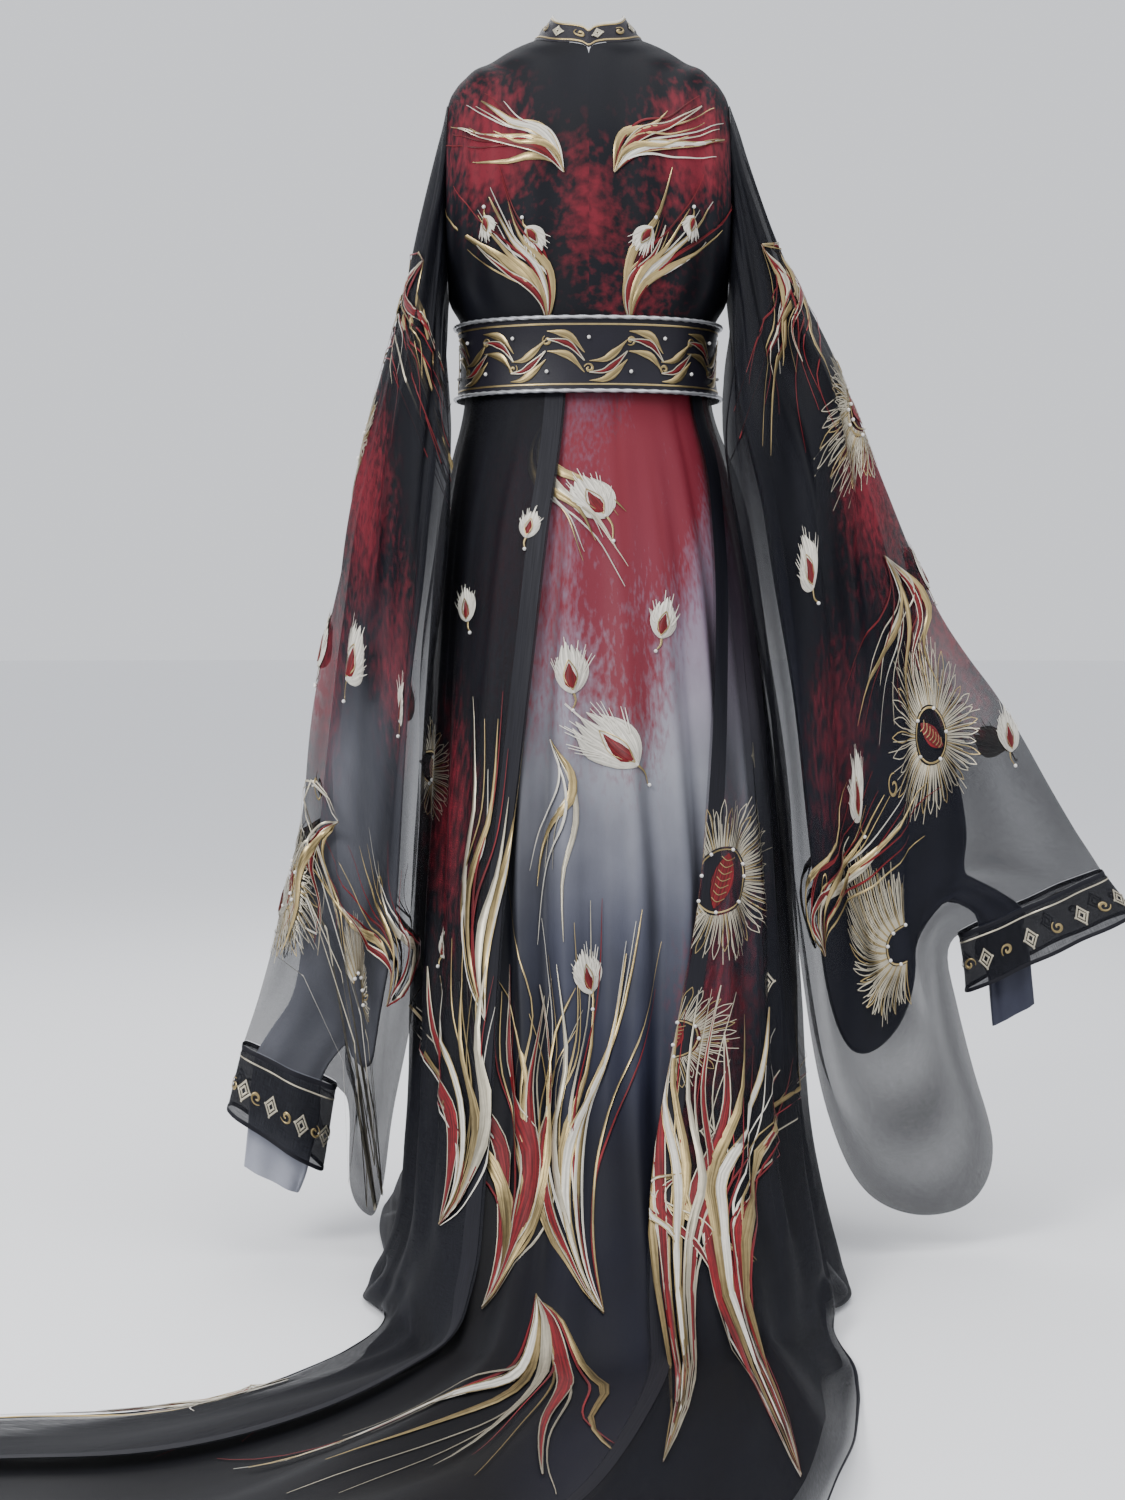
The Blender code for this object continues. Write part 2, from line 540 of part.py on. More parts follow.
def best_split(quad, points, faced):
    """The four corners turned so that the split from the first to the third keeps both halves facing
    outward, and along the shorter way if both ways do."""
    scores = []
    for turn in (0, 1):
        a, b, c, d = quad[turn:] + quad[:turn]
        toward = faced[a] + faced[b] + faced[c] + faced[d]
        one = unit(np.cross(points[b] - points[a], points[c] - points[a]))
        two = unit(np.cross(points[c] - points[a], points[d] - points[a]))
        least = min(one @ toward, two @ toward, key=abs) if one @ two > 0 else -1.0
        kept = abs(float(least)) > 0.8 and one @ two > 0
        scores.append((kept, -np.linalg.norm(points[a] - points[c]) if kept else float(one @ two)))
    turn = 0 if scores[0] >= scores[1] else 1
    return quad[turn:] + quad[:turn]


def cloth_object(name, columns, rows, place, closed=False, wall=CLOTH, upright=(), facing=None):
    """A length of cloth laid by place(across, along), both from 0 to 1, with its wall on the far side
    of that surface. A closed one is a tube, open at both ends."""
    across = np.arange(columns if closed else columns + 1) / columns
    along = np.arange(rows + 1) / rows
    grid = np.array([[place(a, b) for a in across] for b in along], float)
    shown = len(across)
    if facing is None:
        faced = wall_directions(grid, closed, upright)
    else:
        faced = np.array([[facing(a, b) for a in across] for b in along], float)
    other = grid - faced * wall
    points = np.concatenate([grid.reshape(-1, 3), other.reshape(-1, 3)])
    back = (rows + 1) * shown
    faces = []
    for r in range(rows):
        for c in range(columns):
            d = (c + 1) % shown
            near = (r * shown + c, r * shown + d, (r + 1) * shown + d, (r + 1) * shown + c)
            quad = best_split(near, points, faced.reshape(-1, 3))
            for three in ((quad[0], quad[1], quad[2]), (quad[0], quad[2], quad[3])):
                faces.append(three)
                faces.append(tuple(back + k for k in reversed(three)))
    for r, turned in ((0, True), (rows, False)):
        for c in range(columns):
            d = (c + 1) % shown
            rim = (r * shown + c, back + r * shown + c, back + r * shown + d, r * shown + d)
            faces.append(rim if turned else rim[::-1])
    if not closed:
        for c, turned in ((0, False), (columns, True)):
            for r in range(rows):
                low, high = r * shown + c, (r + 1) * shown + c
                rim = (low, back + low, back + high, high)
                faces.append(rim if turned else rim[::-1])
    mesh = bpy.data.meshes.new(name)
    mesh.from_pydata(points.tolist(), [], faces)
    mesh.update()
    solid = bmesh.new()
    solid.from_mesh(mesh)
    bmesh.ops.recalc_face_normals(solid, faces=solid.faces)
    solid.to_mesh(mesh)
    solid.free()
    made = bpy.data.objects.new(name, mesh)
    garment.objects.link(made)
    made.parent = nape
    return made


def collection(name):
    made = bpy.data.collections.new(name)
    bpy.context.scene.collection.children.link(made)
    return made


def fabric(name, colour, roughness):
    made = bpy.data.materials.new(name)
    made.use_nodes = True
    shader = made.node_tree.nodes["Principled BSDF"]
    shader.inputs["Base Color"].default_value = (*colour, 1.0)
    shader.inputs["Roughness"].default_value = roughness
    return made


def make_underskirt():
    """The dyed skirt under the robe, in a front and a back width seamed at the sides."""
    bearings = fold_bearings()
    seams = {"underskirt_back": (-101.5, 103.5), "underskirt_front": (103.5, 258.5)}
    half_gap = 0.09
    rows = len(SKIRT_SHARES) - 2
    for name, (start, end) in seams.items():
        inside = [b for b in bearings if start + 3 < b < end - 3]
        inside += [b + 360 for b in bearings if start + 3 < b + 360 < end - 3 and b + 360 not in inside]
        ring = np.array([start + half_gap, *sorted(set(inside)), end - half_gap])

        def place(across, up, ring=ring):
            bearing = ring[round(across * (len(ring) - 1))]
            return skirt_point(bearing, SKIRT_SHARES[round((1 - up) * rows)], 0.0)

        def facing(across, up, ring=ring):
            bearing = ring[round(across * (len(ring) - 1))]
            return skirt_facing(bearing, SKIRT_SHARES[round((1 - up) * rows)])

        skirt = cloth_object(name, len(ring) - 1, rows, place, facing=facing)
        skirt.data.materials.append(fabric(f"{name}_cloth", (0.36, 0.33, 0.38), 0.55))


def overskirt_bearings(start, sign):
    """Bearings of one row of an overskirt panel, from its vent edge round to its front edge."""
    near = np.linspace(start * sign, VENT_REACH, VENT_COLUMNS + 1)
    folds = fold_bearings()
    folds = np.concatenate([folds - 360, folds, folds + 360]) * sign
    far = [b for b in sorted(folds) if VENT_REACH + 1.5 < b < OVERSKIRT_FRONT_EDGE - 1.5]
    far = [b for k, b in enumerate(far) if k == 0 or b - far[k - 1] > 0.5]
    return sign * np.array([*near, *far, OVERSKIRT_FRONT_EDGE])


def make_overskirt():
    """The sheer lower half of the robe: two panels that open in a vent behind."""
    rows = len(SKIRT_SHARES) - 1
    for name, edge in (("overskirt_right", "right"), ("overskirt_left", "left")):
        sign = 1 if edge == "right" else -1
        columns = len(overskirt_bearings(0.0, sign)) - 1

        def place(across, up, edge=edge, sign=sign, columns=columns, facing=False):
            share = SKIRT_SHARES[round((1 - up) * rows)]
            start = float(through(VENT_EDGES, "down", edge, min(share, 1.0)))
            across = across if sign > 0 else 1 - across
            bearing = overskirt_bearings(start, sign)[round(across * columns)]
            folded = float(smooth_step((bearing - start) / (sign * VENT_REACH - start)))
            if facing:
                return skirt_facing(bearing, share)
            return over_point(bearing, share, overskirt_clearance(share, bearing), folded)

        def facing(across, up, place=place):
            return place(across, up, facing=True)

        panel = cloth_object(name, columns, rows, place, facing=facing)
        panel.data.materials.append(fabric(f"{name}_cloth", (0.03, 0.03, 0.06), 0.5))


def make_sleeves():
    """The outer sleeves with their pouches and cuff bands, and the narrow sleeves inside them."""
    sheer = fabric("sleeve_organza", (0.03, 0.03, 0.05), 0.5)
    band = fabric("cuff_organza", (0.02, 0.02, 0.03), 0.5)
    navy = fabric("inner_sleeve_satin", (0.01, 0.012, 0.035), 0.35)
    sides = (
        ("right", -1, RIGHT_SLEEVE, RIGHT_CUFF, RIGHT_INNER_SLEEVE),
        ("left", 1, LEFT_SLEEVE, LEFT_CUFF, LEFT_INNER_SLEEVE),
    )
    seam = [(0, slice(None))]
    for word, side, wide, edge, lining in sides:

        def clear_of_seam(point, at, side=side):
            return (point[0] + side * SEAM_GAP / 2 * (at < 1e-6), point[1], point[2])

        def sleeve(turn, along, wide=wide, side=side):
            at = wide[round(along * (len(wide) - 1))].at
            return clear_of_seam(sleeve_point(wide, side, at, -side * turn % 1.0, SLEEVE_FOLD_DEPTH), at)

        def cuff(turn, along, edge=edge, side=side):
            at = SLEEVE_SEAM + CUFF_GAP + (CUFF_END - SLEEVE_SEAM - CUFF_GAP) * along
            return sleeve_point(edge, side, at, -side * turn % 1.0, SLEEVE_FOLD_DEPTH)

        def inner(turn, along, wide=wide, edge=edge, lining=lining, side=side):
            lines = [row.at for row in wide] + list(INNER_CUFF_LINES)
            at = lines[round(along * (len(lines) - 1))]
            return clear_of_seam(inner_sleeve_point(wide, edge, lining, side, at, -side * turn % 1.0), at)

        rows = len(wide) - 1
        made = cloth_object(f"sleeve_{word}", SLEEVE_COLUMNS, rows, sleeve, True, upright=seam)
        made.data.materials.append(sheer)
        made = cloth_object(f"cuff_{word}", SLEEVE_COLUMNS, CUFF_ROWS, cuff, True)
        made.data.materials.append(band)
        rows += len(INNER_CUFF_LINES)
        made = cloth_object(f"inner_sleeve_{word}", INNER_SLEEVE_COLUMNS, rows, inner, True, upright=seam)
        made.data.materials.append(navy)


def make_bodice():
    """The two halves of the robe's upper body, each one length of cloth over the shoulder."""
    cloth = fabric("bodice_organza", (0.04, 0.02, 0.04), 0.5)
    rows = len(BODICE_LINES) - 1
    armhole = [k for k, at in enumerate(BODICE_LINES) if ARMHOLE_LINES[0] < at < ARMHOLE_LINES[1]]
    centre = [k for k, at in enumerate(BODICE_LINES) if at < 0.48]
    for word, side, inset in (("right", -1, OVERLAP_DEPTH), ("left", 1, 0.0)):

        def place(across, along, side=side, inset=inset):
            at = BODICE_LINES[round(along * rows)]
            across = across if side < 0 else 1 - across
            x, y, z = bodice_point(side, across, at, inset)
            return (x + side * SEAM_GAP / 2 * (at < 0.48) * (1 - across), y, z)

        outer, inner = (BODICE_COLUMNS, 0) if side < 0 else (0, BODICE_COLUMNS)
        seams = [(armhole, outer), (centre, inner)]
        half = cloth_object(f"bodice_{word}", BODICE_COLUMNS, rows, place, upright=seams)
        half.data.materials.append(cloth)


def collar_point(turn, up):
    """A point of the collar band, which runs from one front edge round the nape to the other."""
    side = 1 if turn < 0.5 else -1
    at = COLLAR_LINES[round(abs(turn - 0.5) * 2 * (len(COLLAR_LINES) - 1))]
    inset = OVERLAP_DEPTH if side < 0 else 0.0
    edge = np.array(bodice_point(side, 0.0, at, inset))
    stand = np.array([float(through(COLLAR_STAND, "at", name, at)) for name in ("x", "y", "z")])
    stand[0] *= side
    lift = SEAM_GAP * 3 + up * COLLAR_WIDTH
    place = edge + stand * lift
    return (place[0] if abs(turn - 0.5) > 1e-6 else 0.0, place[1], place[2])


def make_collar():
    columns = 2 * (len(COLLAR_LINES) - 1)
    band = cloth_object("collar", columns, 2, collar_point, wall=COLLAR_WALL)
    band.data.materials.append(fabric("collar_satin", (0.02, 0.02, 0.03), 0.4))


def sash_point(turn, up, outside=0.0):
    angle = 2 * math.pi * turn
    flare = SASH_FLARE * (2 * up - 1) ** 2
    x = (SASH_WIDTH_HALF + outside + flare) * power(math.sin(angle), 2 / WAIST_ROUNDNESS)
    y = (SASH_DEPTH_HALF + outside + flare) * power(math.cos(angle), 2 / WAIST_ROUNDNESS)
    return (float(x), float(y), SASH_Z + SASH_HEIGHT * up)


def make_sash():
    """The wide belt with a corded edge above and below."""
    satin = fabric("sash_satin", (0.02, 0.02, 0.03), 0.4)
    sash = cloth_object("sash", SASH_COLUMNS, 2, sash_point, True, SASH_WALL)
    sash.data.materials.append(satin)
    for name, up in (("sash_piping_top", 0.97), ("sash_piping_bottom", 0.03)):
        path = bpy.data.curves.new(name, "CURVE")
        path.dimensions = "3D"
        path.bevel_depth = PIPING_RADIUS
        path.bevel_resolution = 1
        line = path.splines.new("POLY")
        line.points.add(SASH_COLUMNS - 1)
        away = SASH_WALL + PIPING_RADIUS + SEAM_GAP
        for k, point in enumerate(line.points):
            point.co = (*sash_point(k / SASH_COLUMNS, up, away), 1.0)
        line.use_cyclic_u = True
        piping = bpy.data.objects.new(name, path)
        garment.objects.link(piping)
        piping.parent = nape
        piping.data.materials.append(satin)


for old in list(bpy.data.objects):
    bpy.data.objects.remove(old)
garment = collection("hanfu_robe")
nape = bpy.data.objects.new("nape", None)
nape.location = (0, 0, -NAPE_HEIGHT)
garment.objects.link(nape)
make_underskirt()
make_overskirt()
make_sleeves()
make_bodice()
make_collar()
make_sash()
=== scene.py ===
"""Looks of a hanfu robe: dyed underskirt, sheer overskirt with a train, wide sleeves and a sash.

Metres, +Z up. The origin is at the nape, 1.48 m above the floor. The front faces -Y, the train runs
to +Y and the wearer's left is +X. Heights in the tables are above the floor.
"""

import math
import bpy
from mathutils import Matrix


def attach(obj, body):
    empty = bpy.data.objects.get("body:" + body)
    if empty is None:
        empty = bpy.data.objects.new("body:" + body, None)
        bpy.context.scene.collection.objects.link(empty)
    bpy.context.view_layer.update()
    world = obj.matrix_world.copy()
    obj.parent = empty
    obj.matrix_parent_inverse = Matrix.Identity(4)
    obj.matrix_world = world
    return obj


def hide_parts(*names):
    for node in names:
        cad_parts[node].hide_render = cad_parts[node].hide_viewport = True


bl_info = {
    "name": "Hanfu Robe",
    "version": (1, 0, 0),
    "blender": (4, 5, 0),
    "location": "3D View > Sidebar > Hanfu Robe",
    "description": "Builds the cloth, trimmings and embroidery of a hanfu robe",
    "category": "Add Mesh",
}

from collections import namedtuple
from functools import partial

import bpy
import numpy as np
from mathutils import Vector

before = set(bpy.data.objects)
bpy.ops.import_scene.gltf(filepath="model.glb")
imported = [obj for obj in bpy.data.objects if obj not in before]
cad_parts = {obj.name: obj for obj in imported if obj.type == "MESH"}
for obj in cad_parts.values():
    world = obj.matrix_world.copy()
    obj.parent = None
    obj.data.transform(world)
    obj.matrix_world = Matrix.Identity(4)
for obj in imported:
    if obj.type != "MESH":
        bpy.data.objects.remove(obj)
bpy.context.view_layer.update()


def table(kind, rows):
    """Rows that all have the same columns."""
    return tuple(kind(*row) for row in rows)


# Driving sizes
NAPE_HEIGHT = 1.48
CLOTH = 0.0016
SEAM_GAP = 0.0004
ARMHOLE_X = 0.175
WAIST_ROUNDNESS = 2.2
SASH_HEIGHT = 0.094
SASH_Z = 1.036
SASH_WALL = 0.0026
SASH_WIDTH_HALF = 0.1572
SASH_DEPTH_HALF = 0.1212
SASH_FLARE = 0.005
PIPING_RADIUS = 0.0024
COLLAR_WIDTH = 0.058
OVERLAP_DEPTH = 0.009

# One row for each level of the skirt: half width to the right and left, depth to front and back,
# and how square the back of the ring is.
Level = namedtuple("Level", "z right left front back square")
SKIRT_LEVELS = table(Level, (
    (1.082, 0.1490, 0.1490, 0.1130, 0.1130, 2.2),
    (1.030, 0.1520, 0.1520, 0.1160, 0.1180, 2.2),
    (0.950, 0.1760, 0.1660, 0.1270, 0.1420, 2.2),
    (0.860, 0.1960, 0.1780, 0.1370, 0.1680, 2.3),
    (0.700, 0.2180, 0.1880, 0.1490, 0.2010, 2.4),
    (0.500, 0.2350, 0.1930, 0.1600, 0.2480, 2.5),
    (0.300, 0.2440, 0.1970, 0.1700, 0.3250, 2.8),
    (0.150, 0.2500, 0.2010, 0.1790, 0.4500, 3.1),
    (0.060, 0.2630, 0.2110, 0.1860, 0.6000, 3.4),
    (0.010, 0.2740, 0.2350, 0.1910, 0.7300, 3.6),
))

# Where the skirt's hem lies on the floor. The bearing is 0 behind, and positive to the right.
Hem = namedtuple("Hem", "bearing x y run")
TRAIN_HEM = table(Hem, (
    (-180.0, 0.000, -0.200, 0.0), (-130.0, 0.165, -0.130, 0.0), (-90.0, 0.236, 0.180, 0.0),
    (-67.0, 0.218, 0.560, 0.0), (-62.0, 0.228, 0.600, 0.4), (-57.0, 0.242, 0.645, 0.9),
    (-52.0, 0.274, 0.690, 1.0), (-47.0, 0.350, 0.757, 1.0), (-42.0, 0.500, 0.845, 1.0),
    (-37.0, 0.710, 0.955, 1.0), (-32.0, 0.920, 1.070, 1.0), (-26.0, 0.965, 1.170, 1.0),
    (-19.0, 0.910, 1.290, 1.0), (-12.0, 0.750, 1.390, 1.0), (-4.0, 0.500, 1.460, 1.0),
    (8.0, 0.180, 1.440, 1.0), (20.0, -0.060, 1.330, 1.0), (30.0, -0.170, 1.170, 1.0),
    (38.0, -0.222, 1.000, 1.0), (45.0, -0.250, 0.830, 1.0), (51.0, -0.262, 0.730, 1.0),
    (57.0, -0.266, 0.660, 0.9), (62.0, -0.262, 0.610, 0.4), (67.0, -0.262, 0.570, 0.0),
    (90.0, -0.264, 0.200, 0.0), (130.0, -0.190, -0.120, 0.0), (180.0, 0.000, -0.200, 0.0),
))

# One row for each skirt fold: the bearing of its crest and its depth at the hem.
Fold = namedtuple("Fold", "crest depth")
SKIRT_FOLDS = table(Fold, (
    (-176.0, 0.008), (-155.0, 0.009), (-133.0, 0.009), (-113.0, 0.008),
    (-90.0, 0.009), (-75.0, 0.010), (-62.0, 0.008), (-48.0, 0.007),
    (-34.0, 0.009), (-19.0, 0.012), (-5.0, 0.010), (9.0, 0.012),
    (23.0, 0.010), (36.0, 0.012), (49.0, 0.011), (62.0, 0.012),
    (76.0, 0.009), (94.0, 0.008), (113.0, 0.008), (131.0, 0.009),
    (148.0, 0.009), (166.0, 0.008),
))

# The back vent of the overskirt: the bearing of each panel's edge down the length of the cloth.
Vent = namedtuple("Vent", "down right left")
VENT_EDGES = table(Vent, (
    (0.000, 52.0, -8.0),
    (0.100, 50.0, -10.0),
    (0.235, 40.0, -14.0),
    (0.390, 28.0, -21.0),
    (0.540, 17.0, -28.0),
    (0.740, 8.0, -32.0),
    (1.000, 5.0, -32.0),
))
OVERSKIRT_FRONT_EDGE = 198.0
VENT_REACH = 62.0

# The shares of the underskirt's length at which it is fitted to the waist and comes to the floor.
TOP_SHARE = 0.18
TOP_LENGTH = 0.20
FOOT_SHARE = 0.74
FOOT_Z = 0.012
LEAST_FOOT = 0.045

# One row for each ring of a sleeve, from the armhole to the cuff's edge: where the ring lies at its
# outer edge (over the arm), at its middle and at its inner edge (the pouch), how far back the two
# edges are, and half the loft.
Ring = namedtuple("Ring", "at outer_x outer_z mid_x mid_z inner_x inner_z outer_y inner_y loft")
RIGHT_SLEEVE = table(Ring, (
    (0.00, 0.175, 1.402, 0.175, 1.284, 0.175, 1.165, 0.000, 0.000, 0.068),
    (0.08, 0.198, 1.335, 0.188, 1.208, 0.179, 1.080, 0.002, 0.058, 0.062),
    (0.18, 0.242, 1.220, 0.208, 1.095, 0.166, 0.970, 0.010, 0.110, 0.055),
    (0.30, 0.314, 1.077, 0.250, 0.950, 0.186, 0.830, 0.022, 0.138, 0.050),
    (0.42, 0.366, 0.937, 0.283, 0.775, 0.223, 0.620, 0.035, 0.160, 0.046),
    (0.52, 0.405, 0.838, 0.305, 0.605, 0.252, 0.380, 0.045, 0.174, 0.042),
    (0.60, 0.440, 0.767, 0.318, 0.470, 0.289, 0.170, 0.052, 0.178, 0.038),
    (0.66, 0.472, 0.718, 0.336, 0.400, 0.333, 0.075, 0.058, 0.174, 0.036),
    (0.72, 0.506, 0.670, 0.358, 0.375, 0.400, 0.040, 0.064, 0.164, 0.034),
    (0.78, 0.536, 0.620, 0.381, 0.375, 0.468, 0.055, 0.068, 0.150, 0.032),
    (0.84, 0.566, 0.568, 0.401, 0.380, 0.493, 0.120, 0.072, 0.134, 0.030),
    (0.90, 0.598, 0.514, 0.420, 0.400, 0.462, 0.240, 0.076, 0.118, 0.028),
    (0.94, 0.617, 0.482, 0.462, 0.423, 0.440, 0.352, 0.078, 0.108, 0.027),
    (0.97, 0.634, 0.454, 0.543, 0.416, 0.456, 0.378, 0.080, 0.100, 0.027),
))
RIGHT_CUFF = (
    RIGHT_SLEEVE[-1],
    Ring(1.07, 0.678, 0.400, 0.568, 0.352, 0.466, 0.303, 0.084, 0.096, 0.032),
    Ring(1.17, 0.720, 0.346, 0.590, 0.286, 0.464, 0.214, 0.088, 0.092, 0.037),
)
LEFT_SLEEVE = table(Ring, (
    (0.00, 0.175, 1.402, 0.175, 1.284, 0.175, 1.165, 0.000, 0.000, 0.068),
    (0.08, 0.190, 1.330, 0.185, 1.205, 0.179, 1.080, 0.004, 0.058, 0.062),
    (0.18, 0.222, 1.200, 0.199, 1.085, 0.169, 0.970, 0.016, 0.104, 0.055),
    (0.30, 0.262, 1.045, 0.220, 0.938, 0.172, 0.830, 0.034, 0.138, 0.050),
    (0.42, 0.294, 0.905, 0.242, 0.782, 0.191, 0.660, 0.056, 0.158, 0.046),
    (0.52, 0.313, 0.790, 0.255, 0.635, 0.202, 0.480, 0.076, 0.174, 0.042),
    (0.60, 0.328, 0.695, 0.262, 0.502, 0.211, 0.310, 0.094, 0.184, 0.038),
    (0.68, 0.342, 0.605, 0.272, 0.388, 0.236, 0.170, 0.110, 0.192, 0.034),
    (0.75, 0.352, 0.525, 0.276, 0.315, 0.248, 0.080, 0.124, 0.196, 0.032),
    (0.82, 0.364, 0.448, 0.284, 0.277, 0.264, 0.048, 0.136, 0.198, 0.030),
    (0.88, 0.380, 0.375, 0.292, 0.260, 0.288, 0.086, 0.146, 0.196, 0.028),
    (0.93, 0.398, 0.312, 0.303, 0.256, 0.290, 0.182, 0.152, 0.188, 0.027),
    (0.97, 0.418, 0.252, 0.361, 0.228, 0.304, 0.205, 0.156, 0.180, 0.027),
))
LEFT_CUFF = (
    LEFT_SLEEVE[-1],
    Ring(1.07, 0.438, 0.172, 0.380, 0.135, 0.322, 0.098, 0.160, 0.172, 0.032),
    Ring(1.17, 0.454, 0.096, 0.397, 0.072, 0.340, 0.048, 0.163, 0.168, 0.037),
)

# The narrow sleeve inside each wide one: how far down the wide sleeve's height its two edges lie,
# and its loft as a share of the room there.
Lining = namedtuple("Lining", "at top low loft")
RIGHT_INNER_SLEEVE = table(Lining, (
    (0.00, 0.060, 0.840, 0.80), (0.08, 0.090, 0.760, 0.66), (0.18, 0.090, 0.760, 0.58),
    (0.30, 0.080, 0.780, 0.56), (0.45, 0.080, 0.790, 0.55), (0.60, 0.100, 0.770, 0.52),
    (0.72, 0.130, 0.710, 0.50), (0.78, 0.160, 0.670, 0.50), (0.84, 0.210, 0.620, 0.50),
    (0.90, 0.300, 0.560, 0.50), (0.94, 0.380, 0.550, 0.50), (0.97, 0.520, 0.800, 0.50),
    (1.07, 0.610, 0.850, 0.50), (1.16, 0.640, 0.850, 0.50),
))
LEFT_INNER_SLEEVE = table(Lining, (
    (0.00, 0.060, 0.840, 0.80), (0.08, 0.090, 0.760, 0.66), (0.18, 0.090, 0.760, 0.58),
    (0.30, 0.080, 0.780, 0.56), (0.45, 0.080, 0.790, 0.55), (0.60, 0.100, 0.760, 0.52),
    (0.72, 0.110, 0.700, 0.50), (0.82, 0.120, 0.620, 0.50), (0.88, 0.130, 0.570, 0.50),
    (0.93, 0.140, 0.560, 0.50), (0.97, 0.150, 0.800, 0.50), (1.07, 0.230, 0.850, 0.50),
    (1.14, 0.280, 0.850, 0.50),
))
SLEEVE_SEAM = 0.97
CUFF_GAP = 0.0014
CUFF_END = 1.07
SLEEVE_FOLD_PITCH = 0.072
SLEEVE_FOLD_DEPTH = 0.009

# One row for each level of a bodice half, from the back waist over the shoulder to the front waist:
# the point on its inner edge (centre back, neck, front edge) and on its outer edge (side, armhole).
Row = namedtuple("Row", "at in_x in_y in_z out_x out_y out_z")
BODICE = table(Row, (
    (0.00, 0.000, 0.1165, 1.0824, 0.1520, 0.0006, 1.0824),
    (0.10, 0.000, 0.1215, 1.1350, 0.1585, 0.0008, 1.1300),
    (0.18, 0.000, 0.1280, 1.1900, 0.1740, 0.0040, 1.1600),
    (0.30, 0.000, 0.1310, 1.2800, 0.1750, 0.0600, 1.2200),
    (0.40, 0.000, 0.1180, 1.3750, 0.1750, 0.0680, 1.3000),
    (0.47, 0.000, 0.0760, 1.4600, 0.1750, 0.0500, 1.3650),
    (0.52, 0.046, 0.0560, 1.4720, 0.1750, 0.0270, 1.3930),
    (0.56, 0.068, 0.0150, 1.4820, 0.1750, 0.0000, 1.4020),
    (0.62, 0.066, -0.0300, 1.4600, 0.1750, -0.0330, 1.3880),
    (0.70, 0.048, -0.0700, 1.4130, 0.1750, -0.0620, 1.3300),
    (0.80, 0.012, -0.1060, 1.3230, 0.1750, -0.0600, 1.2350),
    (0.89, -0.022, -0.1220, 1.2130, 0.1740, -0.0040, 1.1600),
    (0.95, -0.044, -0.1170, 1.1450, 0.1585, -0.0008, 1.1300),
    (1.00, -0.060, -0.1100, 1.0824, 0.1520, -0.0006, 1.0824),
))
BODICE_FOLD_DEPTH = 0.0035
BODICE_FOLDS = 4.5

# The way the collar band stands from the neck edge, at levels of the same bodice rows.
Stand = namedtuple("Stand", "at x y z")
COLLAR_STAND = table(Stand, (
    (0.47, 0.00, -0.12, 0.42),
    (0.52, -0.15, -0.10, 0.46),
    (0.56, -0.42, 0.02, 0.52),
    (0.62, -0.72, 0.12, 0.50),
    (0.70, -0.86, 0.16, 0.42),
    (0.80, -0.90, 0.08, 0.36),
    (0.90, -0.90, 0.12, 0.30),
    (1.00, -0.86, 0.42, 0.26),
))


def column(rows, name):
    return np.array([getattr(row, name) for row in rows])


def through(rows, key, name, at):
    """The named column as a smooth curve through its rows, read at the places at."""
    knots = column(rows, key)
    values = column(rows, name)
    at = np.clip(np.asarray(at, float), knots[0], knots[-1])
    slopes = np.gradient(values, knots)
    left = np.clip(np.searchsorted(knots, at, side="right") - 1, 0, len(knots) - 2)
    span = knots[left + 1] - knots[left]
    s = (at - knots[left]) / span
    start = (1 + 2 * s) * (1 - s) ** 2 * values[left] + s * (1 - s) ** 2 * span * slopes[left]
    end = s**2 * (3 - 2 * s) * values[left + 1] - s**2 * (1 - s) * span * slopes[left + 1]
    return start + end


def smooth_step(value):
    """0 to 1 with a soft start and end."""
    value = np.clip(value, 0.0, 1.0)
    return value * value * (3 - 2 * value)


def power(value, exponent):
    """The signed power that turns a circle into a squarer ring."""
    return np.sign(value) * np.abs(value) ** exponent


def fold_wave(bearing):
    """Height of the skirt's folds at a bearing: each crest stands out by its own depth."""
    crests = column(SKIRT_FOLDS, "crest")
    depths = column(SKIRT_FOLDS, "depth")
    around = np.concatenate([crests - 360, crests, crests + 360])
    phase = np.interp(bearing, around, np.arange(len(around)))
    depth = np.interp(bearing, around, np.tile(depths, 3))
    return depth * np.cos(2 * math.pi * phase)


skirt_lines = {}
HANG_STEPS = 40
FLOOR_STEPS = 24
LEFT_SPREAD = 0.7
RIGHT_SPREAD = 0.3
CORNER = 52.0
BACK_DRAW = 0.35
FLOOR_TURN = 0.14
BACK_TURN = 0.20


def turned_back(bearing, z):
    """The bearing of a line of cloth at the heights z: low down the lines draw together behind."""
    drawn = 1 + BACK_DRAW * smooth_step((0.5 - z) / 0.44)
    if abs(bearing) >= 90:
        return np.full(np.shape(z), bearing)
    return math.copysign(90.0, bearing) * (abs(bearing) / 90) ** drawn


